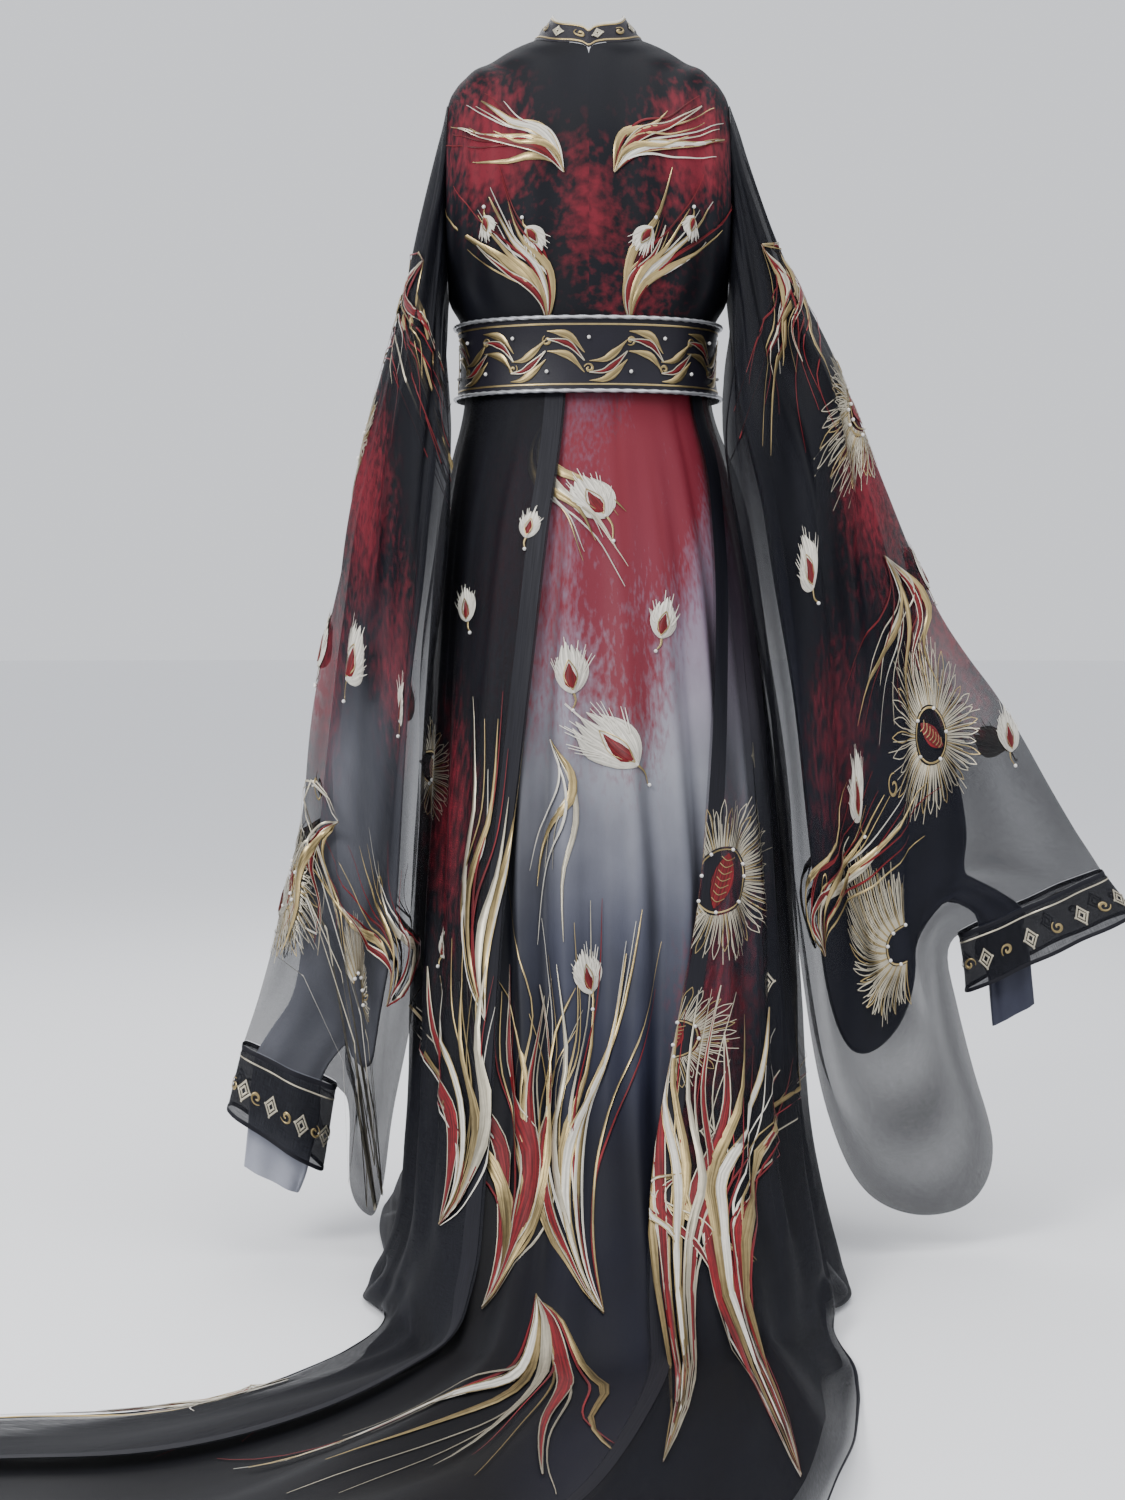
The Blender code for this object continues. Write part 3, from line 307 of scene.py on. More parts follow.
def skirt_line(bearing):
    """One line of skirt cloth at a bearing, from the waist to the floor and along it to the hem."""
    bearing = (bearing + 180) % 360 - 180
    z = np.linspace(SKIRT_LEVELS[0].z, SKIRT_LEVELS[-1].z, HANG_STEPS)
    rows = SKIRT_LEVELS[::-1]
    angle = np.radians(turned_back(bearing, z))
    square = np.full(len(z), WAIST_ROUNDNESS)
    if abs(bearing) < 90:
        square = through(rows, "z", "square", z)
    blend = smooth_step((110 - abs(bearing)) / 40)
    square = WAIST_ROUNDNESS + (square - WAIST_ROUNDNESS) * blend
    half = through(rows, "z", "right" if bearing > 0 else "left", z)
    depth = through(rows, "z", "back" if abs(bearing) < 90 else "front", z)
    x = -half * power(np.sin(angle), 2 / square)
    y = depth * power(np.cos(angle), 2 / square)
    run = np.linspace(0, 1, FLOOR_STEPS)[1:]
    reach = float(through(TRAIN_HEM, "bearing", "run", bearing))
    hem_x = float(through(TRAIN_HEM, "bearing", "x", bearing))
    hem_y = float(through(TRAIN_HEM, "bearing", "y", bearing))
    step = np.array([hem_x - x[-1], hem_y - y[-1]]) * reach
    spread = LEFT_SPREAD if bearing < 0 else RIGHT_SPREAD
    away = np.array([-math.sin(angle[-1]) * spread, math.cos(angle[-1])])
    bow = away / np.linalg.norm(away) * np.linalg.norm(step) / 2
    floor_x = x[-1] + bow[0] * 2 * run * (1 - run) + step[0] * run**2
    floor_y = y[-1] + bow[1] * 2 * run * (1 - run) + step[1] * run**2
    floor_z = z[-1] * (1 - run) ** 2
    line = np.stack(
        [np.append(x, floor_x), np.append(y, floor_y), np.append(z, floor_z)], axis=1
    )
    steps = np.linalg.norm(np.diff(line, axis=0), axis=1)
    keep = np.append(True, steps > 1e-5)
    return line[keep]


def at_length(line, length):
    """The point on a line of cloth at a length from its start."""
    steps = np.linalg.norm(np.diff(line, axis=0), axis=1)
    along = np.append(0, np.cumsum(steps))
    return np.array([np.interp(length, along, line[:, k]) for k in range(3)])


def line_length(line):
    return float(np.linalg.norm(np.diff(line, axis=0), axis=1).sum())


def hem_allowance(bearing):
    """How much longer the overskirt is than the underskirt: little in front, more on the train."""
    return 0.018 + 0.085 * float(smooth_step((58 - abs(bearing)) / 16))


def corner(bearing, share):
    """1 where the hem turns from hanging to lying at either side: the cloth is kept plain there."""
    beside = 1 - float(smooth_step((abs(abs(bearing) - CORNER) - 8) / 10))
    return beside * float(smooth_step((share - 0.55) / 0.3))


def skirt_base(bearing, share):
    """A point of the skirt's smooth form. The share runs to 1 at the underskirt's hem, 2 at the
    overskirt's."""
    bearing = round((bearing + 180) % 360 - 180, 4)
    if bearing not in skirt_lines:
        line = skirt_line(bearing)
        hanging = line[line[:, 2] > FOOT_Z]
        skirt_lines[bearing] = (line, line_length(line), line_length(hanging))
    line, full, foot = skirt_lines[bearing]
    under = full - hem_allowance(bearing)
    foot = min(foot, under - LEAST_FOOT)
    length = np.interp(share, (0, TOP_SHARE, FOOT_SHARE, 1, 2), (0, TOP_LENGTH, foot, under, full))
    return at_length(line, length)


def skirt_facing(bearing, share):
    """The way the skirt's cloth faces: outward where it hangs, upward where it lies."""
    bearing = (bearing + 180) % 360 - 180
    z = skirt_base(bearing, share)[2]
    rows = SKIRT_LEVELS[::-1]
    level = max(z, rows[0].z)
    half = float(through(rows, "z", "right" if bearing > 0 else "left", level))
    depth = float(through(rows, "z", "back" if abs(bearing) < 90 else "front", level))
    angle = math.radians(float(turned_back(bearing, np.array(level))))
    outward = np.array([-math.sin(angle) / half, math.cos(angle) / depth, 0.0])
    outward = outward / np.linalg.norm(outward)
    turn = FLOOR_TURN + BACK_TURN * float(smooth_step((45 - abs(bearing)) / 30))
    up = float(smooth_step((turn - z) / turn)) * float(smooth_step((78 - abs(bearing)) / 24))
    facing = (1 - up) * outward + up * np.array([0.0, 0.0, 1.0])
    return facing / np.linalg.norm(facing)


def skirt_point(bearing, share, clearance, folded=1.0):
    """A point of a skirt at a bearing: clearance is how far it lies outside the underskirt."""
    bearing = (bearing + 180) % 360 - 180
    here = skirt_base(bearing, share)
    facing = skirt_facing(bearing, share)
    flat = float(smooth_step((facing[2] - 0.35) / 0.5))
    grown = float(smooth_step((1.06 - here[2]) / 0.75))
    wave = float(fold_wave(bearing))
    top = max(abs(wave), 0.010)
    plain = corner(bearing, share)
    fold = (1 - plain) * grown * ((1 - flat) * folded * wave + flat * (folded * wave + top) * 0.5)
    lift = clearance * (1 - 0.25 * flat) * (1 - 0.5 * plain)
    place = here + facing * (fold + lift)
    place[2] = max(place[2], CLOTH + lift * flat)
    return place


def overskirt_clearance(share, bearing):
    """The overskirt hugs the underskirt at the waist and stands off it lower down, and the left
    front lies over the right."""
    away = 0.0024 + 0.0075 * float(smooth_step((share - 0.03) / 0.15))
    away += 0.006 * float(smooth_step((share - 0.2) / 0.5))
    settles = float(smooth_step((share - 1.0) / 0.6)) * float(smooth_step((56 - abs(bearing)) / 10))
    over = 0.005 * float(smooth_step((-bearing - 140) / 18))
    return away * (1 - settles) + over


def loft_shape(across):
    """How the two layers of a sleeve part between its outer edge (0) and its inner edge (1)."""
    shifted = across**0.8
    return (1 - np.abs(2 * shifted - 1) ** 2.6) ** (1 / 2.6)


def ring_point(rings, at, down):
    """A point between the two layers of a sleeve: down is 0 at its outer edge, 1 at its inner."""
    get = {name: float(through(rings, "at", name, at)) for name in Ring._fields[1:]}
    weights = ((1 - down) * (1 - 2 * down), 4 * down * (1 - down), down * (2 * down - 1))
    x = sum(w * get[f"{part}_x"] for w, part in zip(weights, ("outer", "mid", "inner")))
    z = sum(w * get[f"{part}_z"] for w, part in zip(weights, ("outer", "mid", "inner")))
    y = get["outer_y"] + (get["inner_y"] - get["outer_y"]) * down
    return x, y, z, get["loft"]


def sleeve_point(rings, side, at, turn, fold_depth):
    """A point of a sleeve. Turn 0 is the outer edge and a half the inner; the back comes first."""
    across = 2 * turn if turn <= 0.5 else 2 - 2 * turn
    across = 0.45 * across + 0.55 * (0.5 - 0.5 * math.cos(math.pi * across))
    facing = 1 if turn <= 0.5 else -1
    x, y, z, loft = ring_point(rings, at, across)
    shape = float(loft_shape(np.array(across)))
    grown = float(smooth_step(at / 0.25)) * (1 - 0.6 * float(smooth_step((at - 0.85) / 0.12)))
    wave = math.cos(2 * math.pi * x / SLEEVE_FOLD_PITCH + (0.6 if facing > 0 else 2.4))
    y += facing * shape * loft + fold_depth * grown * shape * wave
    return (x * side, y, z)


def inner_sleeve_point(sleeve, cuff, lining, side, at, turn):
    """A point of the narrow sleeve, which lies in the hollow of the wide one."""
    across = 2 * turn if turn <= 0.5 else 2 - 2 * turn
    facing = 1 if turn <= 0.5 else -1
    top, low, share = (float(through(lining, "at", name, at)) for name in ("top", "low", "loft"))
    down = top + (low - top) * (0.5 - 0.5 * math.cos(math.pi * across))
    x, y, z, loft = ring_point(sleeve if at <= SLEEVE_SEAM else cuff, at, down)
    room = loft - SLEEVE_FOLD_DEPTH * float(smooth_step(at / 0.25))
    puff = (1 - abs(2 * across - 1) ** 2.4) ** (1 / 2.4)
    y += facing * room * share * float(loft_shape(down)) * puff
    return (x * side, y, z)


def bodice_point(side, across, at, inset):
    """A point of a bodice half. Across is 0 at its inner edge and 1 at the armhole or side seam."""
    inner = [float(through(BODICE, "at", name, at)) for name in ("in_x", "in_y", "in_z")]
    outer = [float(through(BODICE, "at", name, at)) for name in ("out_x", "out_y", "out_z")]
    inner[0] = max(inner[0], 0.0) if at < 0.5 else inner[0]
    outer[0] = min(outer[0], ARMHOLE_X)
    toward = math.sin(across * math.pi / 2) ** (2 / WAIST_ROUNDNESS)
    x = inner[0] + (outer[0] - inner[0]) * toward
    round_here = max(1 - abs(x / outer[0]) ** WAIST_ROUNDNESS, 0.0) ** (1 / WAIST_ROUNDNESS)
    round_inner = (1 - abs(inner[0] / outer[0]) ** WAIST_ROUNDNESS) ** (1 / WAIST_ROUNDNESS)
    y = outer[1] + (inner[1] - outer[1]) * round_here / round_inner
    z = inner[2] + (outer[2] - inner[2]) * across
    folds = math.sin(math.pi * across) * (1 - float(smooth_step((abs(at - 0.5) - 0.32) / 0.1)))
    folds *= 1 - 0.6 * float(smooth_step((at - 0.5) / 0.1))
    y += BODICE_FOLD_DEPTH * folds * math.cos(2 * math.pi * BODICE_FOLDS * across)
    y += inset * float(smooth_step((at - 0.56) / 0.16)) * float(smooth_step((1 - across) / 0.35))
    return ((x - SEAM_GAP / 2 * across) * side, y, z)


def unit(vectors):
    """The vectors at a length of 1."""
    return vectors / np.maximum(np.linalg.norm(vectors, axis=-1, keepdims=True), 1e-9)


def sash_point(turn, up, outside):
    """A point of the sash: up runs from its lower edge to its upper one."""
    angle = 2 * math.pi * turn
    flare = SASH_FLARE * (2 * up - 1) ** 2
    x = (SASH_WIDTH_HALF + outside + flare) * power(math.sin(angle), 2 / WAIST_ROUNDNESS)
    y = (SASH_DEPTH_HALF + outside + flare) * power(math.cos(angle), 2 / WAIST_ROUNDNESS)
    return (float(x), float(y), SASH_Z + SASH_HEIGHT * up)


def length_property(name, description, default):
    """A length that a user may change."""
    return bpy.props.FloatProperty(
        name=name, description=description, default=default, unit="LENGTH"
    )


def colour_property(name, description, default):
    """A colour that a user may change."""
    return bpy.props.FloatVectorProperty(
        name=name, description=description, default=default, subtype="COLOR"
    )


class RobeSizes(bpy.types.PropertyGroup):
    """Sizes of the trimmings, threads and small folds."""

    thread_width: length_property("Thread", "Width of a couched metal thread", 0.0013)
    satin_puff: length_property("Satin stitch", "Height of the satin stitch", 0.0011)
    bead_radius: length_property("Bead", "Radius of a pearl bead", 0.0024)
    binding_width: length_property("Binding", "Width of the turned edge of the organza", 0.022)
    crease_depth: length_property("Creases", "Depth of a main crease", 0.009)
    ripple: length_property("Ripple", "Height of the small ripples in the cloth", 0.0018)


class RobeColours(bpy.types.PropertyGroup):
    """Colours of the cloth and the threads."""

    organza: colour_property("Organza", "Sheer outer cloth", (0.0022, 0.0026, 0.0060))
    satin_navy: colour_property("Navy satin", "Narrow sleeves and belt", (0.010, 0.012, 0.030))
    dye_crimson: colour_property(
        "Crimson dye", "Dye of the skirt and sleeves", (0.155, 0.010, 0.020)
    )
    dye_pale: colour_property("Pale dye", "Palest part of the skirt", (0.27, 0.275, 0.31))
    dye_slate: colour_property("Slate dye", "Lower part of the skirt", (0.022, 0.025, 0.045))
    dye_navy: colour_property("Navy dye", "Train of the skirt", (0.0035, 0.0040, 0.011))
    gold: colour_property("Gold thread", "Couched metal thread", (0.62, 0.47, 0.22))
    pale_gold: colour_property("Pale gold thread", "Fine pale metal thread", (0.66, 0.60, 0.46))
    crimson: colour_property("Crimson silk", "Satin stitch", (0.24, 0.008, 0.014))
    ivory: colour_property("Ivory silk", "Satin stitch", (0.80, 0.76, 0.66))
    pearl: colour_property("Pearl", "Beads", (0.86, 0.84, 0.80))


def size_of(name):
    """A size as the user has set it."""
    return getattr(bpy.context.scene.robe_sizes, name)


def colour_of(name):
    """A colour as the user has set it."""
    return tuple(getattr(bpy.context.scene.robe_colours, name))


SLOTS = {
    "underskirt": "dyed_underskirt",
    "overskirt": "overskirt_organza",
    "sleeve": "sleeve_organza",
    "cuff": "cuff_organza",
    "inner": "inner_sleeve_satin",
    "bodice": "bodice_organza",
    "collar": "collar_satin",
    "sash": "sash_brocade",
}


# ---- Cloth as a grid of points ----

# How far below a ring's middle the cloth is taken to face away from.
MIDDLE_DROP = 0.02


def spline(values, count, closed):
    """The rows of an array drawn as a smooth curve through count places."""
    last = len(values) if closed else len(values) - 1
    at = np.linspace(0, last, count)
    left = np.minimum(at.astype(int), last - 1)
    t = (at - left).reshape(-1, *([1] * (values.ndim - 1)))

    def row(step):
        index = left + step
        return values[index % len(values)] if closed else values[np.clip(index, 0, len(values) - 1)]

    before, start, end, after = row(-1), row(0), row(1), row(2)
    cube = 3 * (start - end) + after - before
    square = 2 * before - 5 * start + 4 * end - after
    return start + 0.5 * t * (end - before + t * (square + t * cube))


class Cloth:
    """A length of cloth: u runs across it and v along it, both from 0 to 1."""

    def __init__(self, base, columns, rows, closed=False):
        grid = spline(base - (0, 0, NAPE_HEIGHT), rows + 1, False)
        grid = spline(grid.swapaxes(0, 1), columns + 1, closed).swapaxes(0, 1)
        self.points = grid
        self.closed = closed
        self.lay()

    def lay(self):
        """Find the cloth's normals and its lengths both ways."""
        grid = self.points
        along = np.gradient(grid, axis=0)
        across = np.gradient(grid, axis=1)
        if self.closed:
            across[:, 0] = across[:, -1] = (grid[:, 1] - grid[:, -2]) / 2
        self.normals = unit(np.cross(across, along))
        middle = grid.mean(axis=1, keepdims=True)
        middle[..., 2] -= MIDDLE_DROP
        if (self.normals * (grid - middle)).sum() < 0:
            self.normals = -self.normals
        self.wide = np.linalg.norm(across, axis=-1) * (grid.shape[1] - 1)
        self.long = np.linalg.norm(along, axis=-1) * (grid.shape[0] - 1)

    def shift(self, amount):
        """Move each point out along the cloth's own normal."""
        self.points = self.points + self.normals * amount[..., None]
        if self.closed:
            self.points[:, -1] = self.points[:, 0]
        self.lay()

    def sample(self, field, u, v):
        """A value of each grid point, read between the points."""
        rows, columns = self.points.shape[:2]
        u = np.mod(u, 1.0) if self.closed else np.clip(u, 0, 1)
        x = np.clip(np.asarray(u, float), 0, 1) * (columns - 1)
        y = np.clip(np.asarray(v, float), 0, 1) * (rows - 1)
        c = np.minimum(x.astype(int), columns - 2)
        r = np.minimum(y.astype(int), rows - 2)
        s, t = x - c, y - r
        if field.ndim == 3:
            s, t = s[..., None], t[..., None]
        low = field[r, c] * (1 - s) + field[r, c + 1] * s
        high = field[r + 1, c] * (1 - s) + field[r + 1, c + 1] * s
        return low * (1 - t) + high * t

    def place(self, u, v, lift):
        """The point at (u, v), lifted off the cloth."""
        lift = np.asarray(lift, float)[..., None]
        return self.sample(self.points, u, v) + unit(self.sample(self.normals, u, v)) * lift

    def spot(self, x, z, facing=1, y=None):
        """The (u, v) of the cloth where it shows at x and height z, from behind for facing 1."""
        grid, z = self.points, z - NAPE_HEIGHT
        far = (grid[..., 0] - x) ** 2
        if y is None:
            far = far + (grid[..., 2] - z) ** 2
            far = far + 0.05 * (self.normals[..., 1] * facing < 0.02)
        else:
            far = far + (grid[..., 1] - y) ** 2 + 0.3 * (grid[..., 2] - z) ** 2
        r, c = np.unravel_index(int(np.argmin(far)), far.shape)
        r, c = min(max(r, 1), far.shape[0] - 2), min(max(c, 1), far.shape[1] - 2)
        axes = [0, 2] if y is None else [0, 1]
        across, along = grid[r, c + 1] - grid[r, c - 1], grid[r + 1, c] - grid[r - 1, c]
        steps = np.stack([across, along], axis=1)[axes] / 2
        goal = np.array([x, z if y is None else y]) - grid[r, c][axes]
        near = np.clip(np.linalg.lstsq(steps, goal, rcond=0.05)[0], -1.5, 1.5)
        return (c + near[0]) / (far.shape[1] - 1), (r + near[1]) / (far.shape[0] - 1)


# The small ripples of each cloth: their height against the ripple size, how many there are at most
# across and along it, and their seed.
Ripples = namedtuple("Ripples", "height across along seed")
RIPPLES = {
    "underskirt": Ripples(0.45, 16, 5, 3),
    "overskirt": Ripples(0.7, 17, 6, 7),
    "sleeve_right": Ripples(1.7, 14, 4, 10),
    "sleeve_left": Ripples(1.7, 14, 4, 12),
    "cuff": Ripples(0.4, 9, 1, 5),
    "inner_sleeve": Ripples(0.8, 6, 9, 4),
    "bodice": Ripples(0.7, 3, 6, 21),
}
RIPPLE_WAVES = 9


def ripples(cloth, name):
    """Small uneven ripples, made of a few long waves."""
    height, across, along, seed = RIPPLES[name]
    height *= size_of("ripple")
    rng = np.random.default_rng(seed)
    rows, columns = cloth.points.shape[:2]
    u = np.linspace(0, 1, columns)[None, :]
    v = np.linspace(0, 1, rows)[:, None]
    field = np.zeros((rows, columns))
    for _ in range(RIPPLE_WAVES):
        a = rng.uniform(0.4, 1.0) * across
        if cloth.closed:
            a = np.round(a)
        b = rng.uniform(-1.0, 1.0) * along
        field += rng.uniform(0.4, 1.0) * np.sin(2 * math.pi * (a * u + b * v) + rng.uniform(0, 7))
    return height * field / 3


Crease = namedtuple("Crease", "u1 v1 u2 v2 width depth")


def creases(cloth, rows, share):
    """The main creases, each along a line from one place on the cloth to another."""
    scale = share * size_of("crease_depth")
    count_v, count_u = cloth.points.shape[:2]
    u = np.linspace(0, 1, count_u)[None, :]
    v = np.linspace(0, 1, count_v)[:, None]
    wide, long = cloth.wide.mean(), cloth.long.mean()
    field = np.zeros((count_v, count_u))
    for row in rows:
        du, dv = (row.u2 - row.u1) * wide, (row.v2 - row.v1) * long
        length = math.hypot(du, dv)
        pu, pv = (u - row.u1) * wide, (v - row.v1) * long
        along = (pu * du + pv * dv) / length**2
        bow = 0.03 * length * np.sin(math.pi * np.clip(along, 0, 1))
        off = (pu * dv - pv * du) / length + bow
        ends = smooth_step((along + 0.08) / 0.2) * smooth_step((1.08 - along) / 0.2)
        field += row.depth * scale * ends * np.exp(-((off / row.width) ** 2))
    return field


# ---- Finishes ----


def shader(name):
    """A new finish, its nodes and its main shader."""
    made = bpy.data.materials.new(name)
    made.use_nodes = True
    tree = made.node_tree
    return made, tree, tree.nodes["Principled BSDF"]


def node(tree, kind, **values):
    made = tree.nodes.new(kind)
    for key, value in values.items():
        setattr(made, key, value)
    return made


def noise(tree, source, scale, detail, stretch=(1, 1, 1)):
    """Noise over the cloth's own lengths in metres."""
    spread = node(tree, "ShaderNodeMapping")
    spread.inputs["Scale"].default_value = stretch
    tree.links.new(source, spread.inputs["Vector"])
    made = node(tree, "ShaderNodeTexNoise")
    made.inputs["Scale"].default_value = scale
    made.inputs["Detail"].default_value = detail
    tree.links.new(spread.outputs["Vector"], made.inputs["Vector"])
    return made.outputs["Fac"]


def ranged(tree, value, low, high, to_low, to_high):
    """A value moved from one range to another."""
    made = node(tree, "ShaderNodeMapRange")
    tree.links.new(value, made.inputs["Value"])
    limits = {"From Min": low, "From Max": high, "To Min": to_low, "To Max": to_high}
    for key, number in limits.items():
        made.inputs[key].default_value = number
    return made.outputs["Result"]


def maths(tree, kind, first, second, clamp=False):
    """Two values or numbers put together."""
    made = node(tree, "ShaderNodeMath", operation=kind, use_clamp=clamp)
    for k, value in enumerate((first, second)):
        if isinstance(value, (int, float)):
            made.inputs[k].default_value = value
        else:
            tree.links.new(value, made.inputs[k])
    return made.outputs[0]


def mixed(tree, factor, first, second, kind="MIX"):
    """Two colours mixed by a factor."""
    made = node(tree, "ShaderNodeMix", data_type="RGBA", blend_type=kind)
    for key, value in ((0, factor), (6, first), (7, second)):
        if isinstance(value, (int, float)):
            made.inputs[key].default_value = value
        elif isinstance(value, tuple):
            made.inputs[key].default_value = (*value, 1.0)
        else:
            tree.links.new(value, made.inputs[key])
    return made.outputs[2]


def bumped(tree, bsdf, height, strength, distance):
    """Relief that a finish shows but the mesh has not."""
    made = node(tree, "ShaderNodeBump")
    made.inputs["Strength"].default_value = strength
    made.inputs["Distance"].default_value = distance
    tree.links.new(height, made.inputs["Height"])
    tree.links.new(made.outputs["Normal"], bsdf.inputs["Normal"])


def weave(tree, lengths):
    """Threads of the weave with thicker slubs, seen as fine streaks both ways."""
    warp = noise(tree, lengths, 1.0, 3.0, (2600, 60, 1))
    weft = noise(tree, lengths, 1.0, 3.0, (60, 2600, 1))
    return maths(tree, "ADD", warp, weft)


# How the dye mottles: the scale of each noise, its detail, and how far it moves a bloom's edge.
CLOUDY, CLOUDY_DETAIL, CLOUDY_REACH = 9.0, 6.0, 0.26
GRAINY, GRAINY_DETAIL, GRAINY_REACH = 120.0, 8.0, 0.34
# The range of the weave's noise, both ways added, and the relief of threads in metres.
WEAVE_LOW, WEAVE_HIGH = 0.7, 1.3
THREAD_RELIEF = 0.0004
WEAVE_GREY = (0.55, 0.55, 0.6)
BLACK = (0.0, 0.0, 0.0)


def dyed_cloth(name, sheer, rough, sheen, crimson, sharp):
    """Dyed silk: its colour, painted shade included, and its thickness are painted on the cloth,
    and crimson blooms through.
    """
    made, tree, bsdf = shader(name)
    lengths = node(tree, "ShaderNodeUVMap", uv_map="lengths").outputs["UV"]
    paint = node(tree, "ShaderNodeAttribute", attribute_name="dye")
    bloom = node(tree, "ShaderNodeAttribute", attribute_name="bloom").outputs["Fac"]
    cloudy = noise(tree, lengths, CLOUDY, CLOUDY_DETAIL)
    grainy = noise(tree, lengths, GRAINY, GRAINY_DETAIL, (1, 0.6, 1))
    broad = ranged(tree, cloudy, 0.25, 0.75, -CLOUDY_REACH, CLOUDY_REACH)
    fine = ranged(tree, grainy, 0.3, 0.7, -GRAINY_REACH, GRAINY_REACH)
    spread = maths(tree, "ADD", bloom, maths(tree, "ADD", broad, fine))
    mask = ranged(tree, spread, 0.5 - 1 / sharp, 0.5 + 1 / sharp, 0.0, 1.0)
    strength = ranged(tree, bloom, 0.02, 0.25, 0.0, 0.92)
    mask = maths(tree, "MULTIPLY", mask, strength, True)
    uneven = ranged(tree, cloudy, 0.3, 0.7, 0.0, 0.45)
    tone = mixed(tree, uneven, paint.outputs["Color"], BLACK, "SOFT_LIGHT")
    colour = mixed(tree, mask, tone, crimson)
    threads = weave(tree, lengths)
    woven = ranged(tree, threads, WEAVE_LOW, WEAVE_HIGH, 0.0, 0.22)
    colour = mixed(tree, woven, colour, WEAVE_GREY, "SOFT_LIGHT")
    tree.links.new(colour, bsdf.inputs["Base Color"])
    bsdf.inputs["Roughness"].default_value = rough
    bsdf.inputs["Sheen Weight"].default_value = sheen
    bsdf.inputs["Sheen Roughness"].default_value = 0.35
    bsdf.inputs["Specular IOR Level"].default_value = 0.22
    bumped(tree, bsdf, threads, 0.35, THREAD_RELIEF)
    if sheer:
        holes = ranged(tree, threads, WEAVE_LOW, WEAVE_HIGH, 0.86, 1.1)
        thick = maths(tree, "MULTIPLY", paint.outputs["Alpha"], holes)
        dyed = maths(tree, "MULTIPLY", mask, 0.8)
        tree.links.new(maths(tree, "MAXIMUM", thick, dyed, True), bsdf.inputs["Alpha"])
    return made


def thread_finish(name, colour, metal, rough, pitch, dark, sheen=0.3):
    """Laid threads, with their line along the stitch and a little wear."""
    made, tree, bsdf = shader(name)
    lengths = node(tree, "ShaderNodeUVMap", uv_map="lengths").outputs["UV"]
    laid = noise(tree, lengths, 1.0, 3.0, (1 / pitch, 0.02 / pitch, 1))
    worn = noise(tree, lengths, 90.0, 4.0)
    deep = tuple(c * dark for c in colour)
    tone = mixed(tree, ranged(tree, laid, 0.32, 0.68, 0.0, 1.0), deep, colour)
    tone = mixed(tree, ranged(tree, worn, 0.45, 0.75, 0.0, 0.35), tone, deep)
    tree.links.new(tone, bsdf.inputs["Base Color"])
    bsdf.inputs["Metallic"].default_value = metal
    dulled = ranged(tree, laid, 0.3, 0.7, rough + 0.12, rough)
    tree.links.new(dulled, bsdf.inputs["Roughness"])
    if metal < 0.5:
        bsdf.inputs["Sheen Weight"].default_value = sheen
        bsdf.inputs["Sheen Roughness"].default_value = 0.3
        bsdf.inputs["Specular IOR Level"].default_value = 0.25
    bumped(tree, bsdf, laid, 0.6, THREAD_RELIEF)
    return made


def pearl_finish(name, colour):
    """A pearl's soft shine, a little uneven."""
    made, tree, bsdf = shader(name)
    lengths = node(tree, "ShaderNodeTexCoord").outputs["Object"]
    lustre = ranged(tree, noise(tree, lengths, 60.0, 2.0), 0.3, 0.7, 0.0, 1.0)
    tone = mixed(tree, lustre, colour, tuple(c * 0.8 for c in colour))
    tree.links.new(tone, bsdf.inputs["Base Color"])
    bsdf.inputs["Roughness"].default_value = 0.18
    bsdf.inputs["Coat Weight"].default_value = 0.6
    bsdf.inputs["Coat Roughness"].default_value = 0.1
    return made


# The sheerness, roughness, sheen and sharpness of the bloom of each dyed cloth.
DYED_CLOTHS = {
    "dyed_satin": (False, 0.55, 0.02, 2.6),
    "organza": (True, 0.68, 0.0, 3.0),
    "navy_satin": (False, 0.42, 0.03, 5.0),
}
# Each thread: its material's name, its colour (a name in the colours or a value), metal, roughness,
# pitch, how dark it is between the threads, and its sheen.
Thread = namedtuple("Thread", "label colour metal rough pitch dark sheen", defaults=(0.3,))
THREADS = {
    "gold": Thread("gold_thread", "gold", 0.85, 0.30, 0.0021, 0.22),
    "pale_gold": Thread("pale_gold_thread", "pale_gold", 0.75, 0.34, 0.0018, 0.4),
    "crimson": Thread("crimson_silk", "crimson", 0.0, 0.42, 0.0020, 0.12),
    "ivory": Thread("ivory_silk", "ivory", 0.0, 0.45, 0.0022, 0.42),
    "binding": Thread("bound_edge", (0.005, 0.005, 0.010), 0.0, 0.55, 0.0014, 0.6, 0.0),
    "silver": Thread("silver_cord", (0.62, 0.63, 0.66), 0.6, 0.3, 0.0012, 0.5),
}
finishes = {}


def finish(name):
    """The finish of that name, made once."""
    if name not in finishes:
        if name in DYED_CLOTHS:
            sheer, rough, sheen, sharp = DYED_CLOTHS[name]
            made = dyed_cloth(name, sheer, rough, sheen, colour_of("dye_crimson"), sharp)
        elif name in THREADS:
            label, colour, *values = THREADS[name]
            if isinstance(colour, str):
                colour = colour_of(colour)
            made = thread_finish(label, colour, *values)
        else:
            made = pearl_finish(name, colour_of("pearl"))
        finishes[name] = made
    return finishes[name]


# ---- Making pieces ----

STITCH_LIFT = 0.0012
THREAD_PUFF = 0.0006
FULL_PUFF_WIDTH = 0.004
BEAD_RINGS, BEAD_TURNS = 4, 8


